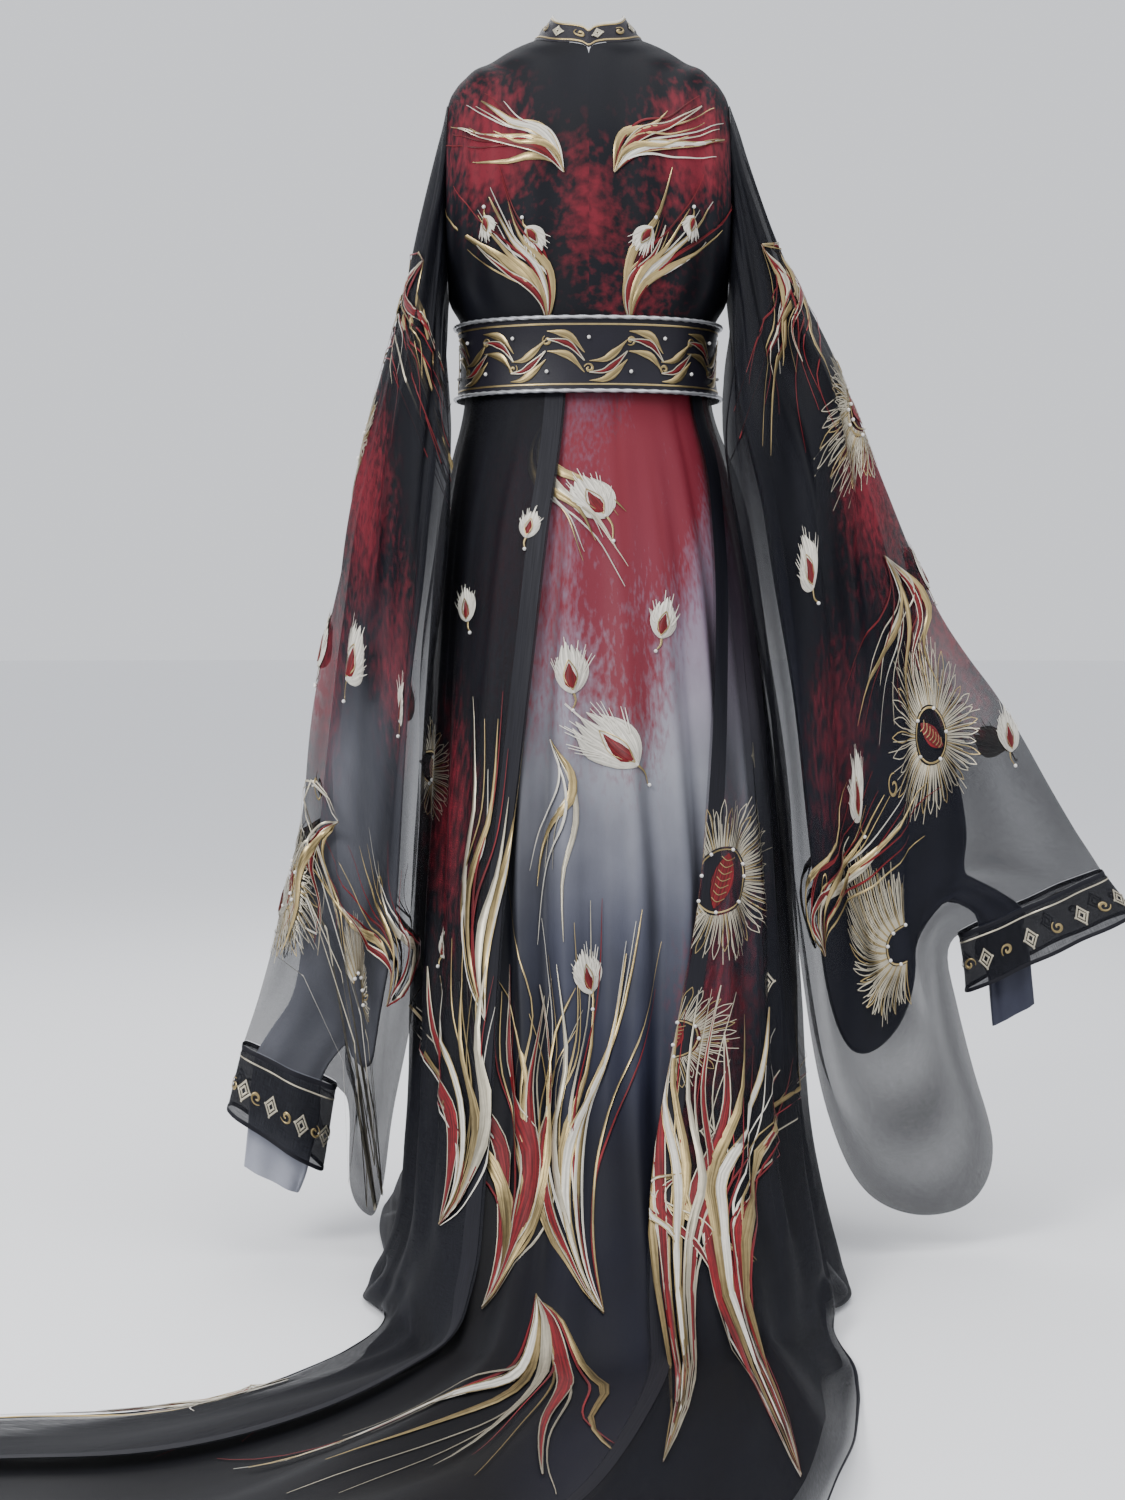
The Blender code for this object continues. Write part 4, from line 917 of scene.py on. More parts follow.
def new_object(name, points, faces, lengths, material, paint=None):
    """A smooth mesh with its cloth lengths as UVs, and its dye with painted shade and its bloom
    where it has them.
    """
    mesh = bpy.data.meshes.new(name)
    mesh.vertices.add(len(points))
    mesh.vertices.foreach_set("co", np.asarray(points, np.float32).ravel())
    faces = np.asarray(faces, np.int32)
    mesh.loops.add(faces.size)
    mesh.loops.foreach_set("vertex_index", faces.ravel())
    mesh.polygons.add(len(faces))
    corners = faces.shape[1]
    starts = np.arange(0, faces.size, corners, dtype=np.int32)
    mesh.polygons.foreach_set("loop_start", starts)
    mesh.polygons.foreach_set("loop_total", np.full(len(faces), corners, np.int32))
    mesh.update(calc_edges=True)
    mesh.validate()
    layer = mesh.uv_layers.new(name="lengths")
    layer.data.foreach_set("uv", np.asarray(lengths, np.float32)[faces.ravel()].ravel())
    if paint is not None:
        dye, bloom = paint
        colour = mesh.color_attributes.new("dye", "FLOAT_COLOR", "POINT")
        colour.data.foreach_set("color", np.asarray(dye, np.float32).ravel())
        spread = mesh.attributes.new("bloom", "FLOAT", "POINT")
        spread.data.foreach_set("value", np.asarray(bloom, np.float32).ravel())
    mesh.shade_smooth()
    made = bpy.data.objects.new(name, mesh)
    bpy.context.scene.collection.objects.link(made)
    made.data.materials.append(material)
    return made


def grid_faces(rows, columns):
    """The four corners of each cell of a grid of points."""
    r, c = np.meshgrid(np.arange(rows), np.arange(columns), indexing="ij")
    start = (r * (columns + 1) + c).ravel()
    return np.stack([start, start + 1, start + columns + 2, start + columns + 1], axis=1)


def cloth_piece(name, cloth, material, paint):
    """A single layer of cloth as an object. A tube stays open at its seam."""
    rows, columns = cloth.points.shape[0] - 1, cloth.points.shape[1] - 1
    u, v = np.meshgrid(np.linspace(0, 1, columns + 1), np.linspace(0, 1, rows + 1))
    offset = 1.7 * len(name)
    lengths = np.stack([u * cloth.wide.mean() + offset, v * cloth.long.mean()], axis=-1)
    lengths = lengths.reshape(-1, 2)
    points = cloth.points.reshape(-1, 3)
    faces = grid_faces(rows, columns)
    first = points[faces[:, 1]] - points[faces[:, 0]]
    second = points[faces[:, 3]] - points[faces[:, 0]]
    toward = cloth.normals.reshape(-1, 3)[faces[:, 0]]
    if (np.cross(first, second) * toward).sum() < 0:
        faces = faces[:, ::-1]
    dye, bloom = paint
    paint = (dye.reshape(-1, 4), bloom.reshape(-1))
    made = new_object(name, points, faces, lengths, material, paint)
    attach(made, "root")
    return made


class Stitches:
    """Embroidery gathered thread by thread, and made into one object for each."""

    def __init__(self, cloth):
        self.cloth = cloth
        self.threads = {}

    def scales(self, u, v):
        """Metres for each unit of u and of v at a place."""
        cloth = self.cloth
        return cloth.sample(cloth.wide, u, v), cloth.sample(cloth.long, u, v)

    def add(self, thread, points, faces, lengths):
        kept = self.threads.setdefault(thread, [[], [], [], 0])
        kept[0].append(points)
        kept[1].append(faces + kept[3])
        kept[2].append(lengths)
        kept[3] += len(points)

    def strip(self, thread, path, width, across=3, puff=None, lift=STITCH_LIFT, steps=None):
        """A strip of stitches along a path of (u, v), with its width in metres along it."""
        path = np.asarray(path, float)
        path = spline(path, steps or max(3 * len(path), 8), False)
        count = len(path)
        width = np.interp(np.linspace(0, 1, count), np.linspace(0, 1, len(width)), width)
        wide, long = self.scales(path[:, 0], path[:, 1])
        step = np.gradient(path, axis=0) * np.stack([wide, long], axis=1)
        along = np.append(0, np.cumsum(np.linalg.norm(step[1:], axis=1)))
        side = unit(np.stack([-step[:, 1], step[:, 0]], axis=1))
        t = np.linspace(-0.5, 0.5, across + 1)
        u = path[:, :1] + side[:, :1] * t * (width / wide)[:, None]
        v = path[:, 1:] + side[:, 1:] * t * (width / long)[:, None]
        puff = size_of("satin_puff") if puff is None else puff
        height = puff * np.minimum(1, width / FULL_PUFF_WIDTH)[:, None]
        raised = lift + height * (1 - (2 * t) ** 2)
        points = self.cloth.place(u, v, np.broadcast_to(raised, u.shape)).reshape(-1, 3)
        along = np.broadcast_to(along[:, None], u.shape)
        lengths = np.stack([t * width[:, None] + 0.5, along], axis=-1).reshape(-1, 2)
        self.add(thread, points, grid_faces(count - 1, across), lengths)

    def local(self, u, v, turn, outline):
        """Points given in metres about a place on the cloth, turned, as (u, v)."""
        wide, long = self.scales(np.array([u]), np.array([v]))
        outline = np.asarray(outline, float)
        c, s = math.cos(turn), math.sin(turn)
        x = outline[:, 0] * c - outline[:, 1] * s
        y = outline[:, 0] * s + outline[:, 1] * c
        return np.stack([u + x / max(wide[0], 0.05), v + y / max(long[0], 0.05)], axis=1)

    def bead(self, places):
        """A pearl on the cloth at each place."""
        radius = size_of("bead_radius")
        places = np.asarray(places, float)
        polar = np.linspace(0, math.pi, BEAD_RINGS + 1)
        around = np.arange(BEAD_TURNS + 1) / BEAD_TURNS * 2 * math.pi
        ball = np.stack(
            [
                np.outer(np.sin(polar), np.cos(around)),
                np.outer(np.sin(polar), np.sin(around)),
                np.outer(np.cos(polar), np.ones(BEAD_TURNS + 1)),
            ],
            axis=-1,
        ).reshape(-1, 3)
        centres = self.cloth.place(places[:, 0], places[:, 1], np.full(len(places), radius * 0.9))
        faces = grid_faces(BEAD_RINGS, BEAD_TURNS)
        for centre in centres:
            self.add("pearl", centre + ball * radius, faces, ball[:, :2] * radius)

    def make(self, name):
        """One object for each thread and for the pearls."""
        made = []
        for thread, gathered in self.threads.items():
            points, faces, lengths = (np.concatenate(rows) for rows in gathered[:3])
            piece = new_object(f"{name}_{thread}", points, faces, lengths, finish(thread))
            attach(piece, "root")
            made.append(piece)
        return made


# ---- Motifs ----

# A leaf's width along its length, as a share of its widest, and the width of its root and its tip.
LEAF_SWELL = (0.0, 0.35, 0.8, 1.0, 0.65, 0.3, 0.0)
LEAF_ROOT, LEAF_TIP = 0.0008, 0.0006
LEAF_STEPS = 24
# The lean of each petal of a bud, from the outer ones to the middle one, and its fine hairs.
PETAL_LEANS = (-0.46, 0.46, -0.30, 0.30, -0.14, 0.15, 0.02)
PETAL_HAIRS = 16
HAIR_FAN = 0.62
# The parts of a flower's looped petal: how far out, and how far its two sides stand apart there.
PETAL_LOOP = ((0.0, 0.5), (0.35, 0.85), (0.75, 1.0), (1.0, 0.0))
FULL_TURN = 2 * math.pi
RING_PITCH = 0.016
CLOUD_POINTS = 22
CLOUD_SWELL = (0.0012, 0.003, 0.004, 0.0025, 0.001)


def leaf(stitches, thread, path, width, edge=None, lift=STITCH_LIFT):
    """A long leaf that swells and runs out to a point, with a couched edge on either side."""
    swell = [LEAF_ROOT, *(width * share for share in LEAF_SWELL[1:-1]), LEAF_TIP]
    stitches.strip(thread, path, swell, 4, lift=lift)
    if not edge:
        return
    path = spline(np.asarray(path, float), LEAF_STEPS, False)
    wide, long = stitches.scales(path[:, 0], path[:, 1])
    scale = np.stack([wide, long], axis=1)
    step = np.gradient(path, axis=0) * scale
    side = unit(np.stack([-step[:, 1], step[:, 0]], axis=1)) / scale
    at = np.linspace(0, 1, LEAF_STEPS)
    half = np.interp(at, np.linspace(0, 1, len(LEAF_SWELL)), LEAF_SWELL)[:, None] * width / 2
    thin = size_of("thread_width")
    for sign in (-1, 1):
        border = path + sign * side * half
        stitches.strip(edge, border, (thin, thin), 2, THREAD_PUFF, lift + 0.0008, LEAF_STEPS)


def bud(stitches, u, v, size, turn):
    """A lotus bud: ivory petals about a crimson heart, on a short gold stem with a pearl."""
    rng = np.random.default_rng(int(9999 * (u + 2 * v)))

    def drawn(points):
        return stitches.local(u, v, turn, [(x * size, y * size) for x, y in points])

    for k, lean in enumerate(PETAL_LEANS):
        long = 1.04 - 0.50 * abs(lean) + rng.uniform(-0.06, 0.06)
        width = size * (0.25 - 0.08 * abs(lean))
        bend = lean * rng.uniform(1.15, 1.5)
        path = drawn([
            (0, 0),
            (math.sin(bend) * long * 0.42, math.cos(bend) * long * 0.36),
            (math.sin(lean) * long * 0.86, math.cos(lean) * long * 0.74),
            (math.sin(lean * 0.7) * long, math.cos(lean * 0.7) * long * 1.04),
        ])
        swell = (width * 0.25, width * 0.9, width, width * 0.55, LEAF_TIP)
        stitches.strip("ivory", path, swell, 5, lift=STITCH_LIFT + 0.0003 * k)
    for k in range(PETAL_HAIRS):
        lean = -HAIR_FAN + 2 * HAIR_FAN * (k + 0.5) / PETAL_HAIRS + rng.uniform(-0.05, 0.05)
        reach = (1.12 - HAIR_FAN * abs(lean)) * rng.uniform(0.88, 1.22)
        aside = lean + 0.06 * k % 0.2
        path = drawn([
            (math.sin(lean) * reach * part, math.cos(aside) * reach * part)
            for part in (0.55, 0.7425, 1.0)
        ])
        stitches.strip("ivory", path, (0.0016, 0.0013, 0.0005), 2, 0.0005, 0.0034)
    heart = drawn([(0, 0.10), (0.02, 0.34), (0, 0.66)])
    swell = (size * 0.06, size * 0.22, size * 0.24, size * 0.12, LEAF_TIP)
    stitches.strip("crimson", heart, swell, 5, 0.0018, 0.0036)
    for side in (-1, 1):
        edge = drawn([(0, 0.06), (side * 0.125, 0.32), (side * 0.10, 0.52), (0, 0.72)])
        stitches.strip("gold", edge, (0.0013, 0.0013), 2, 0.0005, 0.0046)
    stem = drawn([(0, 0.08), (-0.04, -0.16), (0.05, -0.34)])
    stitches.strip("gold", stem, (0.0034, 0.0024, 0.0012), 2)
    stitches.bead(drawn([(0.05, -0.37)]))


def flower(stitches, u, v, inner, outer, petals, start, end):
    """A chrysanthemum drawn in fine gold: long looped petals about a ring of pearls."""
    thin = size_of("thread_width")
    rng = np.random.default_rng(int(1000 * (u + v) + petals))

    def drawn(points):
        line = [(radius * math.cos(angle), radius * math.sin(angle)) for radius, angle in points]
        return stitches.local(u, v, 0.0, line)

    for k in range(petals):
        angle = start + (end - start) * (k + 0.5) / petals
        reach = outer * rng.uniform(0.86, 1.04)
        half = (end - start) / petals * 0.36
        thread = "pale_gold" if k % 3 else "gold"
        for side in (-1, 1):
            path = drawn([
                (inner + (reach - inner) * part, angle + side * half * spread + 0.05 * part)
                for part, spread in PETAL_LOOP
            ])
            width = (thin, thin * 0.9, thin * 0.6)
            stitches.strip(thread, path, width, 2, THREAD_PUFF, STITCH_LIFT, 9)
    for k in range(2 * petals):
        angle = start + (end - start) * k / (2 * petals)
        reach = outer * rng.uniform(0.62, 1.10)
        line = drawn([(r, angle) for r in (inner, (inner + reach) / 2, reach)])
        stitches.strip("pale_gold", line, (thin * 0.8, thin * 0.6), 2, 0.0004, 0.0010, 5)
    count = max(10, int(inner * (end - start) / RING_PITCH))
    ring = drawn([(inner * 0.92, angle) for angle in np.linspace(start, end, count)])
    stitches.strip("gold", ring, (thin * 1.6, thin * 1.6), 2, steps=3 * count)
    stitches.bead(ring[::2])


def heart_leaf(stitches, u, v, size, turn):
    """The plum-coloured middle of a flower, quilted with a gold lattice."""
    path = stitches.local(u, v, turn, [(0, -size), (0, -size / 3), (0, size / 3), (0, size)])
    swell = (0.002, size * 0.7, size * 0.95, size * 0.7, 0.002)
    stitches.strip("crimson", path, swell, 8, 0.0008)
    for k in range(-3, 4):
        low, high = size * (k / 4 - 0.12), size * (k / 4 + 0.02)
        bar = stitches.local(u, v, turn, [(-size * 0.28, low), (0, high), (size * 0.28, low)])
        stitches.strip("gold", bar, (0.001, 0.001), 2, 0.0004, 0.0024)


def cloud(stitches, u, v, size, turn, mirror):
    """A curled cloud: one line that winds in at each end."""
    points = []
    for k in range(CLOUD_POINTS):
        angle = 0.25 + k * 0.36
        radius = size * (0.08 + 0.020 * k)
        points.append((mirror * radius * math.cos(angle), radius * math.sin(angle)))
    path = stitches.local(u, v, turn, points)
    stitches.strip("gold", path, CLOUD_SWELL, 3, steps=2 * CLOUD_POINTS)


def lozenge(stitches, u, v, size):
    """A small diamond of couched gold with a smaller one inside it."""
    for share in (1.0, 0.5):
        r = size * share
        corners = [(0, -r), (r * 0.7, 0), (0, r), (-r * 0.7, 0), (0, -r)]
        path = stitches.local(u, v, 0.0, np.repeat(corners, 2, axis=0))
        stitches.strip("pale_gold", path, (0.0022, 0.0022), 2, steps=34)


# ---- Cloth pieces ----

BACK, FRONT = 1, -1
COLLAR_ENDS = (0.47, 0.975)
# Columns and rows of each cloth's mesh.
PANEL_STEPS = (250, 170)
SLEEVE_STEPS = (168, 150)
CUFF_STEPS = (168, 18)
INNER_STEPS = (72, 120)
BODICE_STEPS = (84, 150)
COLLAR_STEPS = (220, 12)
SASH_STEPS = (260, 14)
PALE_LINING, DARK_LINING = (0.34, 0.35, 0.40), (0.035, 0.038, 0.06)
HEM_BINDING = 0.007
FLOOR_FOLD_HEIGHT = 0.0055
INNER_END = 1.14
# A painted thickness above 1, at which the weave lets no light through.
OPAQUE = 1.3
CORD_RINGS, CORD_SIDES = 360, 8
# Lines of stitching: the place along the cloth, the thread and its width.
CUFF_LINES = ((0.03, "binding", 0.007), (0.97, "binding", 0.006), (0.16, "pale_gold", 0.0018))
COLLAR_LINES = ((0.95, "ivory", 0.0035), (0.86, "gold", 0.0020), (0.14, "gold", 0.0020))
COLLAR_DYE, SASH_DYE = (0.016, 0.014, 0.020), (0.014, 0.013, 0.020)

cloths = {}
trims = {}

# Where the crimson dye has spread: the middle, the reach either way, the strength and the side.
Bloom = namedtuple("Bloom", "x z wide high strength side")
UNDERSKIRT_BLOOMS = table(Bloom, (
    (-0.105, 0.98, 0.062, 0.15, 1.10, BACK),
    (-0.055, 0.88, 0.055, 0.15, 0.85, BACK),
    (-0.005, 0.74, 0.050, 0.12, 0.66, BACK),
    (-0.060, 0.66, 0.035, 0.09, 0.50, BACK),
    (0.030, 0.95, 0.050, 0.12, 0.70, BACK),
    (0.100, 0.80, 0.050, 0.16, 0.60, BACK),
    (-0.150, 0.30, 0.050, 0.10, 0.45, BACK),
    (0.050, 0.96, 0.080, 0.14, 1.00, FRONT),
    (-0.030, 0.80, 0.060, 0.12, 0.70, FRONT),
    (0.020, 0.62, 0.050, 0.09, 0.50, FRONT),
))
OVERSKIRT_BLOOMS = (
    Bloom(-0.15, 0.42, 0.045, 0.13, 0.62, BACK),
    Bloom(-0.11, 0.26, 0.040, 0.08, 0.50, BACK),
    Bloom(0.17, 0.52, 0.035, 0.14, 0.55, BACK),
    Bloom(-0.12, 0.60, 0.050, 0.14, 0.60, FRONT),
    Bloom(0.14, 0.42, 0.050, 0.12, 0.60, FRONT),
)
SLEEVE_BLOOMS = table(Bloom, (
    (0.325, 0.69, 0.026, 0.12, 0.95, BACK),
    (0.275, 0.92, 0.030, 0.13, 0.85, BACK),
    (0.235, 0.72, 0.025, 0.12, 0.60, BACK),
    (-0.360, 0.93, 0.045, 0.12, 0.80, BACK),
    (-0.450, 0.74, 0.050, 0.10, 0.70, BACK),
    (-0.300, 0.62, 0.040, 0.13, 0.50, BACK),
    (0.300, 0.80, 0.040, 0.14, 0.80, FRONT),
    (-0.380, 0.82, 0.050, 0.14, 0.80, FRONT),
))
BODICE_BLOOMS = (
    Bloom(-0.12, 1.33, 0.05, 0.08, 0.95, BACK),
    Bloom(0.12, 1.33, 0.05, 0.08, 0.95, BACK),
    Bloom(0.00, 1.26, 0.04, 0.08, 0.60, BACK),
    Bloom(-0.06, 1.15, 0.05, 0.05, 0.50, BACK),
    Bloom(0.10, 1.28, 0.05, 0.09, 0.70, FRONT),
    Bloom(-0.10, 1.28, 0.05, 0.09, 0.70, FRONT),
)
# The heights above the floor at which the underskirt's dye changes, and those of the inner sleeves.
DYE_LEVELS = (0.02, 0.17, 0.29, 0.40, 0.58, 0.78, 1.04)
LINING_LEVELS = (0.60, 0.82)
# The two widths of the underskirt: the bearings of their edges and how finely each is cut up.
Width = namedtuple("Width", "name start end fine columns rows")
UNDERSKIRT_WIDTHS = (
    Width("underskirt_back", -101.4, 103.4, 86, 300, 170),
    Width("underskirt_front", 103.6, 258.4, 50, 150, 120),
)


def heights(cloth):
    """The cloth's points across, toward the back, and above the floor."""
    return cloth.points[..., 0], cloth.points[..., 1], cloth.points[..., 2] + NAPE_HEIGHT


def blooms(cloth, rows):
    """How strongly the crimson dye has spread over each point of the cloth."""
    x, _, z = heights(cloth)
    field = np.zeros_like(x)
    for row in rows:
        spread = np.exp(-(((x - row.x) / row.wide) ** 2) - ((z - row.z) / row.high) ** 2)
        field += row.strength * spread * (np.sign(cloth.normals[..., 1]) == row.side)
    return np.clip(field, 0, 1.2)


def banded(z, levels, tones):
    """A colour that changes with the height."""
    return np.stack([np.interp(z, levels, [tone[k] for tone in tones]) for k in range(3)], axis=-1)


def keep(name, cloth, material, colour, thick, bloom, slot):
    """Make a cloth piece in the place of its solid."""
    shape = cloth.points.shape[:2]
    colour = np.broadcast_to(np.asarray(colour, float), (*shape, 3))
    thick = np.broadcast_to(np.asarray(thick, float), shape)
    dye = np.concatenate([colour, thick[..., None]], axis=-1)
    made = cloth_piece(f"{name}_cloth", cloth, material, (dye, blooms(cloth, bloom)))
    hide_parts(name)
    cloths[name] = cloth
    trims.setdefault(name, [])


def embroider(name, stitches, label="embroidery"):
    """Keep a cloth's stitching with the cloth."""
    trims[name] += stitches.make(f"{name}_{label}")


def floor_folds(cloth):
    """The folds of the train where it lies on the floor, the same for both skirts."""
    x, y, z = heights(cloth)
    away = np.hypot(x, y)
    bearing = np.arctan2(x, y)
    wave = np.sin(17 * bearing + 3.0 * np.sin(5 * away) + 0.6)
    wave = wave + 0.6 * np.sin(31 * bearing - 4 * away) + 0.7 * np.sin(9 * away + 5 * bearing)
    height = FLOOR_FOLD_HEIGHT * (1.6 + wave)
    height = height * smooth_step((away - 0.42) / 0.25) * smooth_step((0.16 - z) / 0.12)
    cloth.points[..., 2] += height * (y > 0)
    cloth.lay()


UNDERSKIRT_CREASES = table(Crease, (
    (0.30, 0.05, 0.24, 0.55, 0.016, -0.8),
    (0.38, 0.04, 0.42, 0.66, 0.014, 0.7),
    (0.47, 0.10, 0.44, 0.72, 0.012, -0.7),
    (0.55, 0.03, 0.57, 0.50, 0.015, 0.8),
    (0.61, 0.12, 0.66, 0.70, 0.013, -0.6),
    (0.70, 0.05, 0.72, 0.60, 0.016, 0.6),
    (0.35, 0.72, 0.22, 0.97, 0.020, 0.9),
    (0.50, 0.74, 0.40, 0.98, 0.018, -0.6),
    (0.62, 0.74, 0.58, 0.96, 0.020, 0.8),
    (0.26, 0.70, 0.10, 0.92, 0.022, 0.7),
))
OVERSKIRT_CREASES = table(Crease, (
    (0.10, 0.03, 0.14, 0.60, 0.014, 0.7),
    (0.19, 0.05, 0.20, 0.68, 0.013, -0.6),
    (0.31, 0.02, 0.29, 0.55, 0.015, 0.8),
    (0.44, 0.06, 0.47, 0.66, 0.014, -0.6),
    (0.60, 0.04, 0.57, 0.60, 0.016, 0.7),
    (0.74, 0.03, 0.77, 0.64, 0.015, -0.6),
    (0.88, 0.05, 0.86, 0.58, 0.014, 0.7),
    (0.12, 0.72, 0.06, 0.96, 0.020, 0.8),
    (0.33, 0.72, 0.30, 0.95, 0.020, 0.8),
))
SLEEVE_CREASES = table(Crease, (
    (0.10, 0.04, 0.16, 0.55, 0.016, 1.0),
    (0.22, 0.12, 0.30, 0.80, 0.015, -0.8),
    (0.36, 0.05, 0.40, 0.60, 0.018, 1.0),
    (0.58, 0.05, 0.60, 0.70, 0.017, 0.9),
    (0.68, 0.10, 0.74, 0.75, 0.015, -0.8),
    (0.82, 0.04, 0.86, 0.66, 0.018, 1.0),
    (0.12, 0.60, 0.34, 0.90, 0.020, 0.9),
    (0.88, 0.62, 0.70, 0.92, 0.020, 0.8),
))


def skirt_cloth(bearings, shares, clearance, folded, columns, rows):
    """A skirt panel from the bearings of its cloth at each share of the length."""
    base = [
        [skirt_point(b, share, clearance(share, b), folded(share, b)) for b in bearings(share)]
        for share in shares
    ]
    return Cloth(np.array(base), columns, rows)


def build_underskirt():
    """The dyed skirt under the robe, a back and a front width, with painted shade in its creases.
    """
    tones = (
        colour_of("dye_navy"),
        colour_of("dye_navy"),
        colour_of("dye_slate"),
        (0.075, 0.080, 0.110),
        colour_of("dye_pale"),
        (0.24, 0.18, 0.24),
        (0.14, 0.05, 0.08),
    )
    for width in UNDERSKIRT_WIDTHS:
        bearings = np.linspace(width.start, width.end, width.fine)
        cloth = skirt_cloth(
            lambda share, bearings=bearings: bearings,
            np.linspace(0, 1, 56),
            lambda share, b: -0.0008,
            lambda share, b: 1.0,
            width.columns,
            width.rows,
        )
        field = creases(cloth, UNDERSKIRT_CREASES, 0.22)
        cloth.shift(-np.abs(field) * 0.9 + ripples(cloth, "underskirt"))
        floor_folds(cloth)
        x, y, z = heights(cloth)
        # Darker toward the wearer's left on the back half.
        shade = 1 - 0.72 * smooth_step((x - 0.015) / 0.10) * (y > 0)
        # Painted shade: the colour is darkened along the creases.
        shade = shade * (1 - 0.42 * np.clip(np.abs(field) / 0.0014, 0, 1))
        colour = banded(z, DYE_LEVELS, tones) * shade[..., None]
        satin = finish("dyed_satin")
        keep(width.name, cloth, satin, colour, 1.0, UNDERSKIRT_BLOOMS, SLOTS["underskirt"])


def panel_bearings(edge, sign, share):
    """The bearings across an overskirt panel, from its vent edge to its front edge."""
    start = float(through(VENT_EDGES, "down", edge, min(share, 1.0)))
    return start + (sign * OVERSKIRT_FRONT_EDGE - start) * np.linspace(0, 1, 72)


def panel_folded(edge, sign, share, bearing):
    """How far the skirt's folds have grown: the cloth lies plain along the vent edge."""
    start = float(through(VENT_EDGES, "down", edge, min(share, 1.0)))
    return float(smooth_step((bearing - start) / (sign * VENT_REACH - start)))


def panel_thickness(sign, across, down, z, field):
    """How dense the organza looks: double near the hem and the sash, thin at the bound edge, with
    painted fold shade along the creases.
    """
    if sign > 0:
        thick = 0.42 + 0.30 * smooth_step((across - 0.05) / 0.28)
    else:
        thick = 0.74 + 0.1 * (across > 0)
    thick = thick + 0.20 * smooth_step((0.30 - z) / 0.25) + 0.12 * smooth_step((z - 0.92) / 0.1)
    # Painted fold shade: the organza's density follows the creases, so the folds show as darker and
    # lighter streaks.
    thick = thick - 0.28 * smooth_step((down - 0.955) / 0.04) - 0.14 * np.clip(field / 0.004, -1, 1)
    return np.clip(thick, 0.3, 0.95)


def bind_panel(edge, cloth, width):
    """The bound vent, front edge and hem of an overskirt panel."""
    bound = Stitches(cloth)
    v = np.linspace(0, 1, 60)
    for u, sense in ((0.0, 1), (1.0, -1)):
        wide = cloth.sample(cloth.wide, np.full(60, u), v)
        path = np.stack([u + sense * width / 2 / wide, v], axis=1)
        bound.strip("binding", path, (width, width), 4, 0.0, 0.0007, 180)
    u = np.linspace(0, 1, 80)
    long = cloth.sample(cloth.long, u, np.full(80, 1.0))
    hem = np.stack([u, 1 - HEM_BINDING / 2 / long], axis=1)
    bound.strip("binding", hem, (HEM_BINDING, HEM_BINDING), 3, 0.0008, 0.0, 260)
    embroider(f"overskirt_{edge}", bound, "edge")


def build_overskirt():
    """The sheer lower half of the robe: two panels with a vent behind and a longer hem."""
    shares = np.concatenate([np.linspace(0, 1, 54), np.linspace(1.14, 2, 7)])
    for edge, sign in (("right", 1), ("left", -1)):
        cloth = skirt_cloth(
            partial(panel_bearings, edge, sign),
            shares,
            lambda share, b: overskirt_clearance(share, b) + 0.0006,
            partial(panel_folded, edge, sign),
            *PANEL_STEPS,
        )
        field = creases(cloth, OVERSKIRT_CREASES, 0.42)
        down = np.linspace(0, 1, cloth.points.shape[0])[:, None]
        small = ripples(cloth, "overskirt")
        cloth.shift((np.maximum(field, 0) + small) * smooth_step(down / 0.2))
        floor_folds(cloth)
        across = np.linspace(0, 1, cloth.points.shape[1])[None, :] * cloth.wide.mean()
        thick = panel_thickness(sign, across, down, heights(cloth)[2], field)
        organza, colour = finish("organza"), colour_of("organza")
        name = f"overskirt_{edge}"
        keep(name, cloth, organza, colour, thick, OVERSKIRT_BLOOMS, SLOTS["overskirt"])
        bind_panel(edge, cloth, size_of("binding_width"))


def tube(point, levels, turns, columns, rows):
    """A tube of cloth through rings of points, one ring for each level."""
    base = [[point(at, turn) for turn in turns] for at in levels]
    return Cloth(np.array(base), columns, rows, True)


def edge_line(stitches, thread, v, width, count, steps, across=3, puff=THREAD_PUFF, lift=0.0005):
    """A line of stitches that runs across the whole cloth at one place along it."""
    path = np.stack([np.linspace(0, 1, count), np.full(count, v)], axis=1)
    stitches.strip(thread, path, (width, width), across, puff, lift, steps)


def build_sleeves():
    """The wide sleeves and their cuffs, and the narrow sleeves inside them."""
    sides = (
        ("right", -1, RIGHT_SLEEVE, RIGHT_CUFF, RIGHT_INNER_SLEEVE),
        ("left", 1, LEFT_SLEEVE, LEFT_CUFF, LEFT_INNER_SLEEVE),
    )
    for word, side, wide, edge, lining in sides:
        build_wide_sleeve(word, side, wide)
        build_cuff(word, side, edge)
        build_inner_sleeve(word, side, wide, edge, lining)
        seam = Stitches(cloths[f"cuff_{word}"])
        for v, thread, width in CUFF_LINES:
            edge_line(seam, thread, v, width, 90, 170)
        embroider(f"cuff_{word}", seam, "edge")


